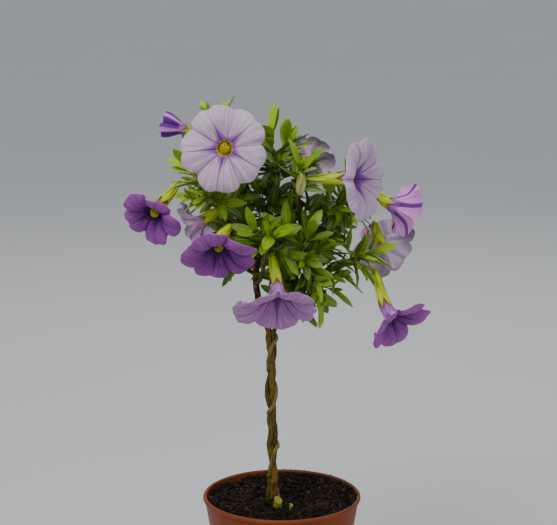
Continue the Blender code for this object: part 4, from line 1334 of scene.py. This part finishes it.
class Bloom:
    """One flower's line, axes and sizes, and the sheet that its lobes lie on."""

    def __init__(self, name, flower):
        self.name = name
        self.flower = flower
        self.line, self.face = flower_axis(flower)
        self.mouth = self.line[-1]
        self.first, self.second = mouth_axes(flower, self.face)
        self.reach = flower.reach * MM
        self.size = min(1.0, self.reach / FULL_REACH)
        self.cup = math.radians(flower.cup)
        self.folded = flower.cup > FOLDED_CUP
        self.rng = random.Random("flower_" + name)
        self.seed = self.rng.uniform(0.0, 60.0)
        self.wild = 0.15 if self.folded else 1.0
        self.lobe_size = [self.rng.uniform(0.90, 1.05) for _ in range(LOBES)]
        self.lobe_lift = [self.rng.gauss(0.0, 1.0) for _ in range(LOBES)]

    def lobe_place(self, turn):
        """Which lobe a direction is in, and its place across it: 0 in the middle, -1 and 1 in the notches."""
        lobe = int(turn / FIFTH) % LOBES
        return lobe, (turn - (lobe + 0.5) * FIFTH) / (0.5 * FIFTH)

    def sheet(self, turn, share):
        """Point of the lobes' face, and the way that it faces there."""
        lobe, across_lobe = self.lobe_place(turn)
        aside = abs(across_lobe)
        throat = THROAT_RADIUS * self.size
        power = FOLDED_POWER if self.folded else NOTCH_POWER
        outline = 1.0 - self.flower.notch * aside ** power - TIP_DIP * math.exp(-(aside / 0.16) ** 2)
        outline += UNEVEN_RIM * noise.noise(noise_spot(turn, 3.5, self.seed))
        grown = 1.0 + (self.lobe_size[lobe] - 1.0) * (1.0 - aside ** 2)
        rim = self.reach * (1.0 + (outline * grown - 1.0) * share ** 0.5)
        arch = 0.0 if self.folded else 1.2 * LOBE_ARCH
        angle = self.cup + arch * math.sin(math.pi * min(1.0, share ** 0.8))
        angle -= self.flower.curl * share ** 4 * (1.0 - 0.4 * aside) * 1.5
        out = throat + (rim - throat) * share * math.cos(angle)
        forward = (rim - throat) * share * math.sin(angle)
        rounding = MOUTH_ROUNDING * self.size
        near = min(share / 0.14, 1.0)
        forward -= rounding * (1.0 - near) ** 2
        radial = toward(turn, self.first, self.second)
        facing = (self.face * math.cos(angle) - radial * math.sin(angle)).normalized()
        if self.folded:
            relief = FOLD_DEPTH * max(0.0, aside - FOLD_RIDGE) / (1.0 - FOLD_RIDGE) * (0.30 + 0.70 * share)
        else:
            relief = self.lobe_relief(lobe, across_lobe, share)
        ruffle = RUFFLE * noise.noise(noise_spot(turn, 1.6, share * 0.8, self.seed)) * share ** 1.6
        crumple = CRUMPLE * noise.noise(noise_spot(turn, 5.5, share * 2.6, self.seed)) * share
        relief += self.wild * (ruffle + crumple)
        place = self.mouth + radial * out + self.face * forward + facing * relief * self.size
        return place, facing

    def lobe_relief(self, lobe, across_lobe, share):
        """Height of an open lobe's groove, parting lines, bulge, tilt and overlap."""
        aside = abs(across_lobe)
        relief = -GROOVE_DEPTH * math.exp(-(aside * 7.0) ** 2) * math.sin(math.pi * share ** 0.6)
        relief -= CREASE_DEPTH * math.exp(-((1.0 - aside) * 7.0) ** 2) * share ** 0.8
        relief += LOBE_BULGE * (1.0 - aside ** 2) * math.sin(math.pi * share ** 1.3)
        relief += self.lobe_lift[lobe] * 1.1 * MM * share ** 2 * (1.0 - aside ** 2)
        return relief + OVERLAP * across_lobe * min(1.0, (1.0 - aside) * 16.0) * share ** 1.3

    def tube_point(self, turn, share, radius):
        return tube_place(self.line, share, turn, radius, self.first)

    def seam_gap(self, turn, share):
        """Distance from the notch between two lobes, in millimetres."""
        aside = abs(self.lobe_place(turn)[1])
        return (1.0 - aside) * 0.5 * FIFTH * (THROAT_RADIUS + self.reach * max(share, 0.0)) / MM

    def vein_gap(self, turn, share):
        """Distance from the middle line of the lobe, in millimetres."""
        aside = abs(self.lobe_place(turn)[1])
        if self.folded:
            return (1.0 - aside) * FOLDED_BAND
        radius = THROAT_RADIUS * self.size + (self.reach - THROAT_RADIUS * self.size) * max(share, 0.0)
        return aside * 0.5 * FIFTH * radius / MM


def bloom_rows():
    """Rows of the trumpet from the calyx up the outside, over the rim and down into the throat.

    Each row: kind, share out from the throat (negative down the tube), map radius.
    """
    rims = [(index / PETAL_ROWS) ** 0.9 for index in range(PETAL_ROWS + 1)]
    falls = [(1.0 - index / PETAL_ROWS) ** 0.9 for index in range(PETAL_ROWS + 1)]
    downs = [index / THROAT_ROWS for index in range(1, THROAT_ROWS + 1)]
    rows = [("tube", i / TUBE_ROWS - 1.0, 0.04 + 0.30 * (i / TUBE_ROWS)) for i in range(TUBE_ROWS)]
    rows += [("back", share, 0.34 + 0.64 * share) for share in rims]
    rows += [("face", share, 0.20 + 0.78 * share) for share in falls]
    return rows + [("throat", -share * THROAT_SHARE, 0.20 * (1.0 - share) + 0.02) for share in downs]


def bloom_point(bloom, kind, share, turn):
    """Point of the trumpet, thin where the back of a lobe lies behind its face."""
    if kind in ("tube", "throat"):
        radius = tube_radius(1.0 + share, bloom.size)
        if kind == "throat":
            radius = THROAT_RADIUS * bloom.size * (1.0 - 0.95 * (-share / THROAT_SHARE) ** 1.5)
        point = bloom.tube_point(turn, 1.0 + share, radius)
        return point - bloom.face * MOUTH_ROUNDING * bloom.size * (1.0 + share) ** 3
    point, facing = bloom.sheet(turn, share)
    if kind == "back":
        seam = bloom.size * THIN_PETAL
        point = point - facing * seam
        if share < 0.05:
            point += (point - bloom.mouth).normalized() * seam * (1.0 - share / 0.05)
    return point


def bloom_piece(name, bloom, material):
    rows = bloom_rows()
    angles = turns(PETAL_SIDES)
    spots = [(kind, share, turn) for kind, share, _ in rows for turn in angles]
    faces = ring_faces(len(rows), PETAL_SIDES)
    places = []
    first_inner = TUBE_ROWS + PETAL_ROWS + 1
    for face in faces:
        inside = min(index // PETAL_SIDES for index in face) >= first_inner
        centre = Vector((0.73, 0.73) if inside else (0.27, 0.27))
        for index in face:
            row, step = divmod(index, PETAL_SIDES)
            radius = rows[row][2] if inside or row != first_inner else 1.0
            places.append(centre + 0.265 * radius * compass(angles[step]))
    piece = add_mesh(name, [bloom_point(bloom, *spot) for spot in spots], faces, material, sharp=PETAL_CREASE)
    point_values(
        piece,
        out=[share for _, share, _ in spots],
        vein=[bloom.vein_gap(turn, share) for _, share, turn in spots],
        notch=[bloom.seam_gap(turn, share) for _, share, turn in spots],
        inner=[float(kind in ("face", "throat")) for kind, _, _ in spots],
        ray=[noise_spot(turn, 15.0, 1.6 * share, bloom.seed) for _, share, turn in spots])
    bake_map(piece, places)
    return piece


def sepal_rings(bloom, turn, rng):
    """A narrow blade that lies along the tube and bends away at its tip."""
    reach = SEPAL_REACH * rng.uniform(0.88, 1.06)
    flare = rng.uniform(0.5, 1.8) * MM * bloom.size
    turn += rng.gauss(0.0, 0.08)
    rings = []
    for share in BLADE_STATIONS + (1.0,):
        place = 0.02 + reach * share
        radius = tube_radius(place, bloom.size) + 0.45 * MM + flare * share ** 2.5
        centre = bloom.tube_point(turn, place, radius)
        axis, direction = along_line(bloom.line, place)
        up = across(direction, centre - axis)
        half = max(SEPAL_HALF_WIDTH * bloom.size * (0.55 + 1.3 * share - 1.85 * share ** 2.4), 0.12 * MM)
        rings.append(blade_ring(centre, direction.cross(up), up, half, -0.35, (0.0, 0.0), 0.0))
    return pointed(rings)


def receptacle(bloom):
    """The green cup that the sepals part from."""
    points, radii = [], []
    for share, radius in RECEPTACLE:
        place, direction = along_line(bloom.line, max(share, 0.0))
        points.append(place + direction * min(share, 0.0) * 0.02)
        radii.append(radius * MM * bloom.size)
    return Limb(points, radii)


def anther_points(bloom):
    """Anthers and stigma crowded into a ball that fills the mouth, or sits small and deep in it."""
    ball = DEEP_BALL if bloom.name in DEEP_THROATS else 1.0
    for index in range(POLLEN_GRAINS):
        height = (index + 0.5) / POLLEN_GRAINS
        outward = toward(index * GOLDEN_ANGLE, bloom.first, bloom.second)
        way = outward * math.sqrt(1.0 - height ** 2) + bloom.face * height
        radius = POLLEN_BALL * bloom.rng.uniform(0.85, 1.08) * ball
        place = bloom.mouth + (way * radius - bloom.face * POLLEN_DEPTH / ball ** 2) * bloom.size
        yield place, POLLEN_GRAIN * bloom.size


def pebbles(name, places, material, rough=0.35, squash=(0.6, 1.0), detail=1, seed=3):
    """Small uneven lumps, joined: each place holds a centre and a radius."""
    rng = random.Random(seed)
    mould = bmesh.new()
    bmesh.ops.create_icosphere(mould, subdivisions=detail, radius=1.0)
    shape = [vertex.co.copy() for vertex in mould.verts]
    sides = [tuple(vertex.index for vertex in face.verts) for face in mould.faces]
    mould.free()
    verts, faces = [], []
    for centre, radius in places:
        turn = Matrix.Rotation(rng.uniform(0.0, TURN), 3, any_way(rng))
        stretch = Vector((rng.uniform(*squash), rng.uniform(*squash), 1.0))
        start = len(verts)
        for point in shape:
            lump = 1.0 + rough * noise.noise(point * 1.7 + Vector((start * 0.37, 0.0, 0.0)))
            stretched = Vector(a * b for a, b in zip(point, stretch))
            verts.append(Vector(centre) + turn @ stretched * radius * lump)
        faces += [tuple(start + index for index in side) for side in sides]
    return add_mesh(name, verts, faces, material, sharp=50)


def bud_piece(name, material):
    """A closed bud: a pleated spindle, twisted towards its tip."""
    top = millimetres(BUD_TOP)
    first = across(BUD_HANGS, ALONG_Y)
    second = BUD_HANGS.cross(first)
    spots = [(row / (BUD_ROWS - 1), turn) for row in range(BUD_ROWS) for turn in turns(BUD_SIDES)]
    verts = []
    for share, turn in spots:
        swell = (share ** 0.75 * (1.0 - share) ** 0.5 + 0.28 * (1.0 - share)) / 0.72
        pleated = 1.0 + 0.10 * math.cos(LOBES * turn) * math.sin(math.pi * share)
        radius = BUD_RADIUS * max(swell, 0.03) * pleated
        place = top + BUD_HANGS * BUD_LENGTH * share
        verts.append(place + radius * toward(turn + BUD_TWIST * share, first, second))
    faces = ring_faces(BUD_ROWS, BUD_SIDES)
    piece = add_mesh(name, verts, faces, material, sharp=PETAL_CREASE)
    point_values(
        piece, pleat=[math.cos(LOBES * turn) for _, turn in spots], along=[share for share, _ in spots])
    bake_map(piece, strip_map(faces, BUD_SIDES, BUD_ROWS, 1))
    return piece


def bud_material():
    paint = Paint("bud_cream", 0.6, Specular_IOR_Level=0.3)
    pleat, along = paint.attributes("pleat", "along")
    colour = paint.ramp(
        along, (0.0, (0.360, 0.440, 0.020)), (0.45, (0.600, 0.590, 0.130)), (1.0, (0.520, 0.450, 0.160)))
    line = paint.times(paint.spread(pleat, 0.55, 0.95), paint.spread(along, 0.1, 0.6, 0.35, 0.9))
    colour = paint.mix(line, colour, (0.150, 0.070, 0.090))
    fuzz = paint.noise(paint.object_place(), 900.0)
    return paint.finish(colour, fuzz, 0.1 * MM)


# ---------------------------------------------------------------- pot and soil

FINE_POT_SIDES = 144
FINE_LIP = tuple(range(180, -50, -15))
FINE_DRAIN_SIDES = 28
SOIL_GRID = (150, 44)
SOIL_CLODS = 1.1 * MM
SOIL_GRAIN = 150.0
SOIL_HEAP = 3.2 * MM
GRIME_SIDE = math.radians(40.0)
CRUMB_COUNT = 1500
CHIP_COUNT = 120
FIBRE_COUNT = 90
STRAW_COUNT = 60
STRAW_SIDES = ((13, (0.35, 0.35)), (15, (1.05, 0.30)), (16, (2.45, 0.22)), (17, (-1.0, 0.5)))
RIM_CRUMBS = 46


def inner_radius(height):
    """Radius of the pot's inner wall."""
    top = POT_RIM_RADIUS - LIP_OVERHANG - POT_WALL
    bottom = POT_BASE_RADIUS - POT_WALL
    share = (height - POT_FLOOR) / (POT_HEIGHT - LIP_HEIGHT - POT_FLOOR)
    return bottom + (top - bottom) * min(max(share, 0.0), 1.0)


def pot_profile():
    wall_top = POT_HEIGHT - LIP_HEIGHT
    bead = LIP_HEIGHT / 2.0
    lip_inside = inner_radius(wall_top)
    profile = [(0.0, POT_FLOOR)]
    profile += [(inner_radius(z), z) for z in np.linspace(POT_FLOOR, wall_top, 12)]
    for degrees in FINE_LIP:
        turn = math.radians(degrees)
        radius = lip_inside + (POT_RIM_RADIUS - lip_inside) * 0.5 * (1.0 + math.cos(turn))
        profile.append((radius, wall_top + bead * (1.0 + math.sin(turn))))
    outer_top = POT_RIM_RADIUS - LIP_OVERHANG
    for share in np.linspace(0.0, 1.0, 14):
        height = wall_top + (POT_FOOT_BEVEL - wall_top) * share
        profile.append((outer_top + (POT_BASE_RADIUS - outer_top) * share, height))
    profile += [(POT_BASE_RADIUS - POT_FOOT_BEVEL, 0.0), (0.0, 0.0)]
    return [(float(radius), float(height)) for radius, height in profile]


def pot_piece():
    profile = pot_profile()
    body = bmesh.new()
    line = [body.verts.new((radius, 0.0, height)) for radius, height in profile]
    edges = [body.edges.new(pair) for pair in zip(line, line[1:])]
    bmesh.ops.spin(
        body, geom=line + edges, cent=(0.0, 0.0, 0.0), axis=(0.0, 0.0, 1.0), angle=TURN, steps=FINE_POT_SIDES,
        use_merge=True)
    bmesh.ops.remove_doubles(body, verts=body.verts, dist=0.02 * MM)
    bmesh.ops.recalc_face_normals(body, faces=body.faces)
    mesh = bpy.data.meshes.new("nursery_pot")
    body.to_mesh(mesh)
    body.free()
    pot = bpy.data.objects.new("nursery_pot", mesh)
    bpy.context.scene.collection.objects.link(pot)
    drills = []
    for index in range(DRAIN_COUNT):
        angle = DRAIN_TURN + TURN * index / DRAIN_COUNT
        place = (DRAIN_RING * math.cos(angle), DRAIN_RING * math.sin(angle), POT_FLOOR / 2.0)
        bpy.ops.mesh.primitive_cylinder_add(
            vertices=FINE_DRAIN_SIDES, radius=DRAIN_RADIUS, depth=3.0 * POT_FLOOR, location=place)
        drills.append(bpy.context.object)
        cut = pot.modifiers.new(f"drain_{index + 1}", "BOOLEAN")
        cut.object = drills[-1]
    graph = bpy.context.evaluated_depsgraph_get()
    mesh = bpy.data.meshes.new_from_object(pot.evaluated_get(graph))
    pot.modifiers.clear()
    pot.data = mesh
    for drill in drills:
        bpy.data.objects.remove(drill, do_unlink=True)
    mesh.materials.append(pot_material())
    mesh.shade_smooth()
    mesh.set_sharp_from_angle(angle=math.radians(40.0))
    inside = [
        1.0 if vertex.co.xy.length < inner_radius(vertex.co.z) + 0.2 * MM and vertex.co.z > POT_FLOOR else 0.0
        for vertex in mesh.vertices]
    grimy = []
    for vertex in mesh.vertices:
        dirty = 0.5 + 0.5 * math.cos(math.atan2(vertex.co.y, vertex.co.x) - GRIME_SIDE)
        grimy.append(dirty ** 2 if vertex.co.z > POT_HEIGHT - LIP_HEIGHT else 0.0)
    point_values(pot, inside=inside, grime=grimy)
    return pot


def soil_height(x, y):
    """Height of the loose surface, level where the stems stand."""
    radius = math.hypot(x, y)
    edge = inner_radius(SOIL_TOP)
    dip = SOIL_EDGE_DROP * (radius / edge) ** 2
    heaped = max(0.0, math.cos(math.atan2(y, x) - GRIME_SIDE)) ** 0.7 + 0.25
    dip -= SOIL_HEAP * heaped * min(1.0, radius / edge) ** 5
    calm = min(1.0, max(0.25, (radius - 9.0 * MM) / (14.0 * MM)))
    broad = noise.noise(Vector((x, y, 0.0)) * SOIL_GRAIN)
    small = noise.noise(Vector((x, y, 0.3)) * 420.0)
    return SOIL_TOP - dip + calm * SOIL_CLODS * (0.75 * broad + 0.5 * small)


def soil_piece(material):
    """The root ball: a rough top and the sides that follow the pot."""
    sides, rings = SOIL_GRID
    edge_radius = inner_radius(SOIL_TOP) - GAP
    verts = [Vector((0.0, 0.0, soil_height(0.0, 0.0)))]
    ways = [compass(turn) for turn in turns(sides)]
    for ring in range(1, rings + 1):
        places = [way * (edge_radius * ring / rings) for way in ways]
        verts += [Vector((*place, soil_height(*place))) for place in places]
    floor = POT_FLOOR + GAP
    verts += [Vector((*(way * (inner_radius(floor) - GAP)), floor)) for way in ways]
    faces = [(0, 1 + index, 1 + (index + 1) % sides) for index in range(sides)]
    for ring in range(rings):
        low, high = 1 + ring * sides, 1 + (ring + 1) * sides
        for index in range(sides):
            after = (index + 1) % sides
            faces.append((low + index, high + index, high + after, low + after))
    faces.append(tuple(reversed(range(1 + rings * sides, 1 + (rings + 1) * sides))))
    return add_mesh("root_ball", verts, faces, material)


def on_soil(rng, inner=0.0, outer=1.0, bias=None):
    """A random place on the surface, between two shares of its radius."""
    edge = inner_radius(SOIL_TOP) - 1.5 * MM
    radius = edge * math.sqrt(rng.uniform(inner ** 2, outer ** 2))
    angle = rng.gauss(*bias) if bias else rng.uniform(0.0, TURN)
    place = compass(angle) * radius
    return Vector((*place, soil_height(*place)))


def crumbs(seed, count, small, large, power=2.2, bias=None, inner=0.0):
    rng = random.Random(seed)
    for _ in range(count):
        radius = small + (large - small) * rng.random() ** power
        yield on_soil(rng, inner, bias=bias) + UP * radius * rng.uniform(-0.1, 0.5), radius


def rim_crumbs():
    """Soil that lies on the lip of the pot."""
    rng = random.Random(18)
    for _ in range(RIM_CRUMBS):
        place = compass(rng.gauss(GRIME_SIDE, 0.9)) * (POT_RIM_RADIUS - rng.uniform(0.6, 2.2) * MM)
        radius = rng.uniform(0.15, 0.5) * MM
        yield Vector((*place, POT_HEIGHT + 0.2 * radius)), radius


def fibre_limbs(seed, count):
    """Thin bent strands that lie on the soil."""
    rng = random.Random(seed)
    limbs = []
    for _ in range(count):
        start = on_soil(rng, outer=0.93)
        heading = rng.uniform(0.0, TURN)
        bend = rng.gauss(0.0, 0.5)
        step = rng.uniform(0.9, 2.0) * MM
        radius = rng.uniform(0.10, 0.32) * MM
        points = []
        for index in range(6):
            place = start.xy + compass(heading + bend * index / 5.0) * step * index
            lift = radius + rng.uniform(0.1, 0.7) * MM
            if place.length > inner_radius(SOIL_TOP) - MM:
                break
            points.append(Vector((*place, soil_height(*place) + lift)))
        if len(points) > 2:
            limbs.append(tapered(points, radius, 0.5 * radius))
    return limbs


def build_pot_and_soil():
    dress(pot_piece(), "pot", "pot")
    dark = soil_material()
    dress(soil_piece(dark), "soil", "soil")
    lumps = list(crumbs(11, CRUMB_COUNT, 0.35 * MM, 2.1 * MM))
    lumps += list(rim_crumbs())
    lumps += [(Vector((20.5, 41.5, 89.0)) * MM, 3.4 * MM), (Vector((24.0, 40.0, 89.4)) * MM, 2.8 * MM)]
    dress(pebbles("soil_crumbs", lumps, dark, rough=0.9, seed=5), "soil", "soil")
    brown = plain_bits_material("bark_bits", (0.060, 0.026, 0.010))
    bits = list(crumbs(12, CHIP_COUNT, 0.5 * MM, 2.4 * MM))
    dress(pebbles("bark_bits", bits, brown, rough=0.8, squash=(0.25, 0.8), seed=6), "soil", "soil")
    tan = plain_bits_material("straw_bits", (0.105, 0.068, 0.020))
    pale = [bit for seed, side in STRAW_SIDES for bit in crumbs(
        seed, STRAW_COUNT, 0.25 * MM, 1.3 * MM, bias=side, inner=0.45)]
    dress(pebbles("straw_bits", pale, tan, rough=0.6, squash=(0.3, 0.9), seed=7), "soil", "soil")
    peat = plain_bits_material("peat_fibre", (0.085, 0.040, 0.012))
    limbs = fibre_limbs(14, FIBRE_COUNT)
    dress(joined_tubes("peat_fibres", limbs, peat, 5, [(0.0, 1.0)] * len(limbs)), "soil", "soil")


STUB_FACES = math.radians(-60.0)
STUB_SLOPE = 0.75
STUB_SIDES = 36
STUB_ROWS = 14
STUB_FACE_RINGS = (0.93, 0.6, 0.25)


def stub_piece(name, bark, cut):
    """A stem cut off aslant: a bark wall with a lip, and a pale cut face."""
    (x, y), radius, height, lean = STUBS[name]
    foot = Vector((x * MM, y * MM, SOIL_TOP - MM))
    top = height * MM + MM
    radius *= MM
    rings = [(row / STUB_ROWS, 1.0) for row in range(STUB_ROWS + 1)]
    rings += [(1.0, inset) for inset in STUB_FACE_RINGS]
    verts = []
    for share, inset in rings:
        for turn in turns(STUB_SIDES):
            swell = 1.0 + 0.05 * noise.noise(noise_spot(turn, 2.0, 6.0 * share))
            wide = radius * (1.12 - 0.20 * share) * inset * swell
            place = Vector((wide * math.cos(turn), wide * math.sin(turn), top * share))
            place.xy += Vector(lean) * top * share
            place.z -= wide * math.cos(turn - STUB_FACES) * STUB_SLOPE * share ** 4
            place.z -= 0.15 * MM * (1.0 - inset)
            verts.append(foot + place)
    faces = ring_faces(len(rings), STUB_SIDES)
    piece = add_mesh("cut_end_" + name, verts, faces, [bark, cut], sharp=CUT_CREASE)
    for polygon in piece.data.polygons:
        polygon.material_index = 1 if min(polygon.vertices) >= STUB_ROWS * STUB_SIDES else 0
    plain = [0.0] * len(verts)
    rise = [row / len(rings) for row in range(len(rings)) for _ in range(STUB_SIDES)]
    point_values(piece, rise=rise, scar=plain, furrow=plain)
    return piece


def cut_material():
    paint = Paint("cut_wood", 0.7, Specular_IOR_Level=0.3)
    grain = paint.noise(paint.object_place(), 1100.0, 3.0)
    colour = paint.mix(grain, (0.180, 0.140, 0.014), (0.290, 0.250, 0.030))
    return paint.finish(colour, grain, 0.1 * MM)


# ---------------------------------------------------------------- the whole plant

CROWN_REACH = 82.0 * MM
BLEND_HEIGHT = 22.0 * MM
CUP_STEP = 0.4 * MM
# For each stem: its colour low down, its colour in the crown (darker, as painted shade under the leaves), its
# flecks, and how deep its bark is ridged
STEM_BARKS = {
    "main": ((0.140, 0.074, 0.006), (0.040, 0.024, 0.004), (0.190, 0.130, 0.016), 0.20 * MM),
    "second": ((0.074, 0.054, 0.006), (0.038, 0.028, 0.005), (0.110, 0.082, 0.010), 0.26 * MM),
    "third": ((0.200, 0.150, 0.026), (0.060, 0.044, 0.008), (0.250, 0.190, 0.032), 0.14 * MM),
}


def build_wood(stems, boughs):
    barks = {name: bark_material("bark_" + name, *colours[:3]) for name, colours in STEM_BARKS.items()}
    for name, limb in stems.items():
        fine = refined(limb, LIMB_STEP, STEM_SWELL, SUNK)
        # Painted shade: each plaited stem's bark turns darker from the plait top into the crown.
        dress(bark_piece(
            "plait_" + name, fine, barks[name], "stem_" + name, STEM_BARKS[name][3], 7.0 * MM, 0.42 * MM,
            PLAIT_TOP, PLAIT_TOP + BLEND_HEIGHT, 8), "bark", "stem_" + name)
    young = bark_material("bark_young", (0.060, 0.040, 0.010), (0.130, 0.150, 0.010), (0.200, 0.140, 0.040))
    for name, limb in boughs.items():
        fine = refined(limb, LIMB_STEP, BOUGH_SWELL, SUNK)
        dress(bark_piece(
            "limb_" + name, fine, young, "bough_" + name, 0.12 * MM, 6.0 * MM, 0.30 * MM,
            fine.points[0].z, fine.points[-1].z + MM, 4), "young_bark", "bough_" + name)
    green_bark = bark_material(
        "stub_bark", (0.130, 0.165, 0.005), (0.240, 0.270, 0.008), (0.220, 0.180, 0.020))
    cut = cut_material()
    for name in STUBS:
        dress(stub_piece(name, green_bark, cut), "cut_stem", "stub_" + name)


def build_crown(stems, boughs):
    crown_centre = sum((millimetres(mass.hub) for mass in MASSES.values()), Vector()) / len(MASSES)
    limbs = [tree_of(tube_solid(limb, LIMB_SIDES)) for limb in (*stems.values(), *boughs.values())]
    twigs = {name: grow_twigs(name, boughs, crown_centre) for name in MASSES}
    blooms = [tree_of(flower_solid(flower)) for flower in FLOWERS.values()]
    taken = {}
    for name, (stem, shoots, stalks) in twigs.items():
        taken[name] = [tree_of(tube_solid(stem, MASS_STEM_SIDES))]
        taken[name] += [tree_of(tube_solid(limb, TWIG_SIDES)) for limb in (*(s for s, _ in shoots), *stalks)]

    def others(name):
        """What a mass keeps clear of: the limbs and all the other masses."""
        return limbs + [tree for other, trees in taken.items() if other != name for tree in trees]

    grown = {}
    for name, (_, shoots, _) in twigs.items():
        rng = random.Random(f"foliage_{name} leaves")
        free = []
        leaves = settle(shoots, shoot_leaves, blooms, others(name), free, rng, LEAF_ROOT, LEAF_CLEARANCE)
        taken[name] += [tree_of(leaf_solid(leaf)) for leaf, _ in leaves]
        grown[name] = (leaves, free)
    greens = leaf_material()
    twig_green = twig_material()
    for name, (stem, shoots, stalks) in twigs.items():
        leaves, free = grown[name]
        rng = random.Random(name + " finer")
        finer = [] if name in BARE_BOUGHS else side_shoots(boughs[name], blooms, rng)
        shoots = shoots + finer
        extra = settle(shoots, extra_leaves, blooms, others(name), free, rng, LEAF_FREE, EXTRA_CLEARANCE)
        taken[name] += [tree_of(leaf_solid(leaf)) for leaf, _ in extra]
        blades = [
            (leaf_rings(turned_out(leaf, crown_centre), rng), youth_of(leaf, share, crown_centre, rng))
            for leaf, share in leaves + extra if not covers_bloom(leaf)]
        dress(blades_piece("leaves_" + name, blades, greens), "foliage", "foliage_" + name)
        fine = [refined(stem, TWIG_STEP, sunk=SUNK)]
        fine += [refined(shoot, TWIG_STEP, thin=0.6) for shoot, _ in shoots]
        fine += [refined(stalk, TWIG_STEP, thin=0.9) for stalk in stalks]
        rises = [(0.1, 0.4)] + [(0.35, 1.0)] * len(shoots) + [(0.5, 1.0)] * len(stalks)
        dress(joined_tubes("twigs_" + name, fine, twig_green, 8, rises, 2), "foliage", "foliage_" + name)


def build_flowers():
    sepals = sepal_material()
    pollen = plain_bits_material("anther_pale", (0.420, 0.360, 0.014), 0.7)
    anthers = []
    for name, flower in FLOWERS.items():
        node = "foliage_" + flower.mass
        bloom = Bloom(name, flower)
        petals = petal_material("petals_" + name, flower.faded)
        dress(bloom_piece("flower_" + name, bloom, petals), "petals", node)
        rng = random.Random(f"flower_{name} sepals")
        blades = [(sepal_rings(bloom, (index + 0.5) * FIFTH, rng), 1.0) for index in range(LOBES)]
        dress(blades_piece("sepals_" + name, blades, sepals), "foliage", node)
        cup = refined(receptacle(bloom), CUP_STEP)
        dress(joined_tubes("calyx_" + name, [cup], twig_material(), 16, [(0.9, 1.0)]), "foliage", node)
        anthers += anther_points(bloom)
    nodes = sorted({"foliage_" + flower.mass for flower in FLOWERS.values()})
    dress(pebbles("anthers", anthers, pollen, rough=0.2, detail=2, seed=8), "petals", *nodes)
    dress(bud_piece("flower_bud", bud_material()), "petals", "foliage_" + BUD_MASS)


# ---------------------------------------------------------------- floor, light and camera

LENS = 115.3
SENSOR = 36.0
CAMERA_PLACE = (-0.0022, -1.13256, 0.48862)
CAMERA_PITCH = math.radians(11.912)
FLOOR_REACH = 30.0
LIGHTS_AIM = Vector((0.0, 0.0, 0.22))


def area_light(name, place, size, power, colour=(1.0, 1.0, 1.0)):
    """A soft square light aimed at the plant."""
    lamp = bpy.data.lights.new(name, "AREA")
    lamp.size = size
    lamp.energy = power
    lamp.color = colour
    made = bpy.data.objects.new(name, lamp)
    made.location = place
    made.rotation_euler = (LIGHTS_AIM - Vector(place)).to_track_quat("-Z", "Y").to_euler()
    bpy.context.scene.collection.objects.link(made)


def build_stage():
    corners = [(x * FLOOR_REACH, y * FLOOR_REACH, 0.0) for x, y in ((-1, -1), (1, -1), (1, 1), (-1, 1))]
    floor = add_mesh("floor", corners, [(0, 1, 2, 3)], floor_material(), smooth=False)
    floor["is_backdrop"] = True
    world = bpy.data.worlds.new("studio")
    world.use_nodes = True
    world.node_tree.nodes["Background"].inputs["Color"].default_value = (0.80, 0.85, 0.92, 1.0)
    world.node_tree.nodes["Background"].inputs["Strength"].default_value = 0.60
    bpy.context.scene.world = world
    area_light("key", (-0.45, -0.75, 1.25), 0.7, 12.0, (1.0, 0.98, 0.95))
    area_light("fill", (0.9, -0.6, 0.7), 1.0, 3.0)
    area_light("rim", (0.1, 1.0, 1.0), 0.8, 3.5)
    lens = bpy.data.cameras.new("camera")
    lens.lens = LENS
    lens.sensor_width = SENSOR
    lens.clip_start = 0.05
    camera = bpy.data.objects.new("camera", lens)
    camera.location = CAMERA_PLACE
    camera.rotation_euler = (math.pi / 2.0 - CAMERA_PITCH, 0.0, 0.0)
    bpy.context.scene.collection.objects.link(camera)
    bpy.context.scene.camera = camera


def floor_material():
    paint = Paint("floor_pale", 0.7)
    cloud = paint.noise(paint.object_place(), 3.0)
    return paint.finish(paint.mix(cloud, (0.60, 0.60, 0.59), (0.64, 0.64, 0.63)))


stems = grow_stems(SOLID_PLAIT)
boughs = grow_boughs(stems)
build_stage()
build_pot_and_soil()
build_wood(grow_stems(TIGHT_PLAIT), boughs)
build_crown(stems, boughs)
build_flowers()

boxes = [[list(map(float, corner)) for corner in box] for box in (cad_bounds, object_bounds())]
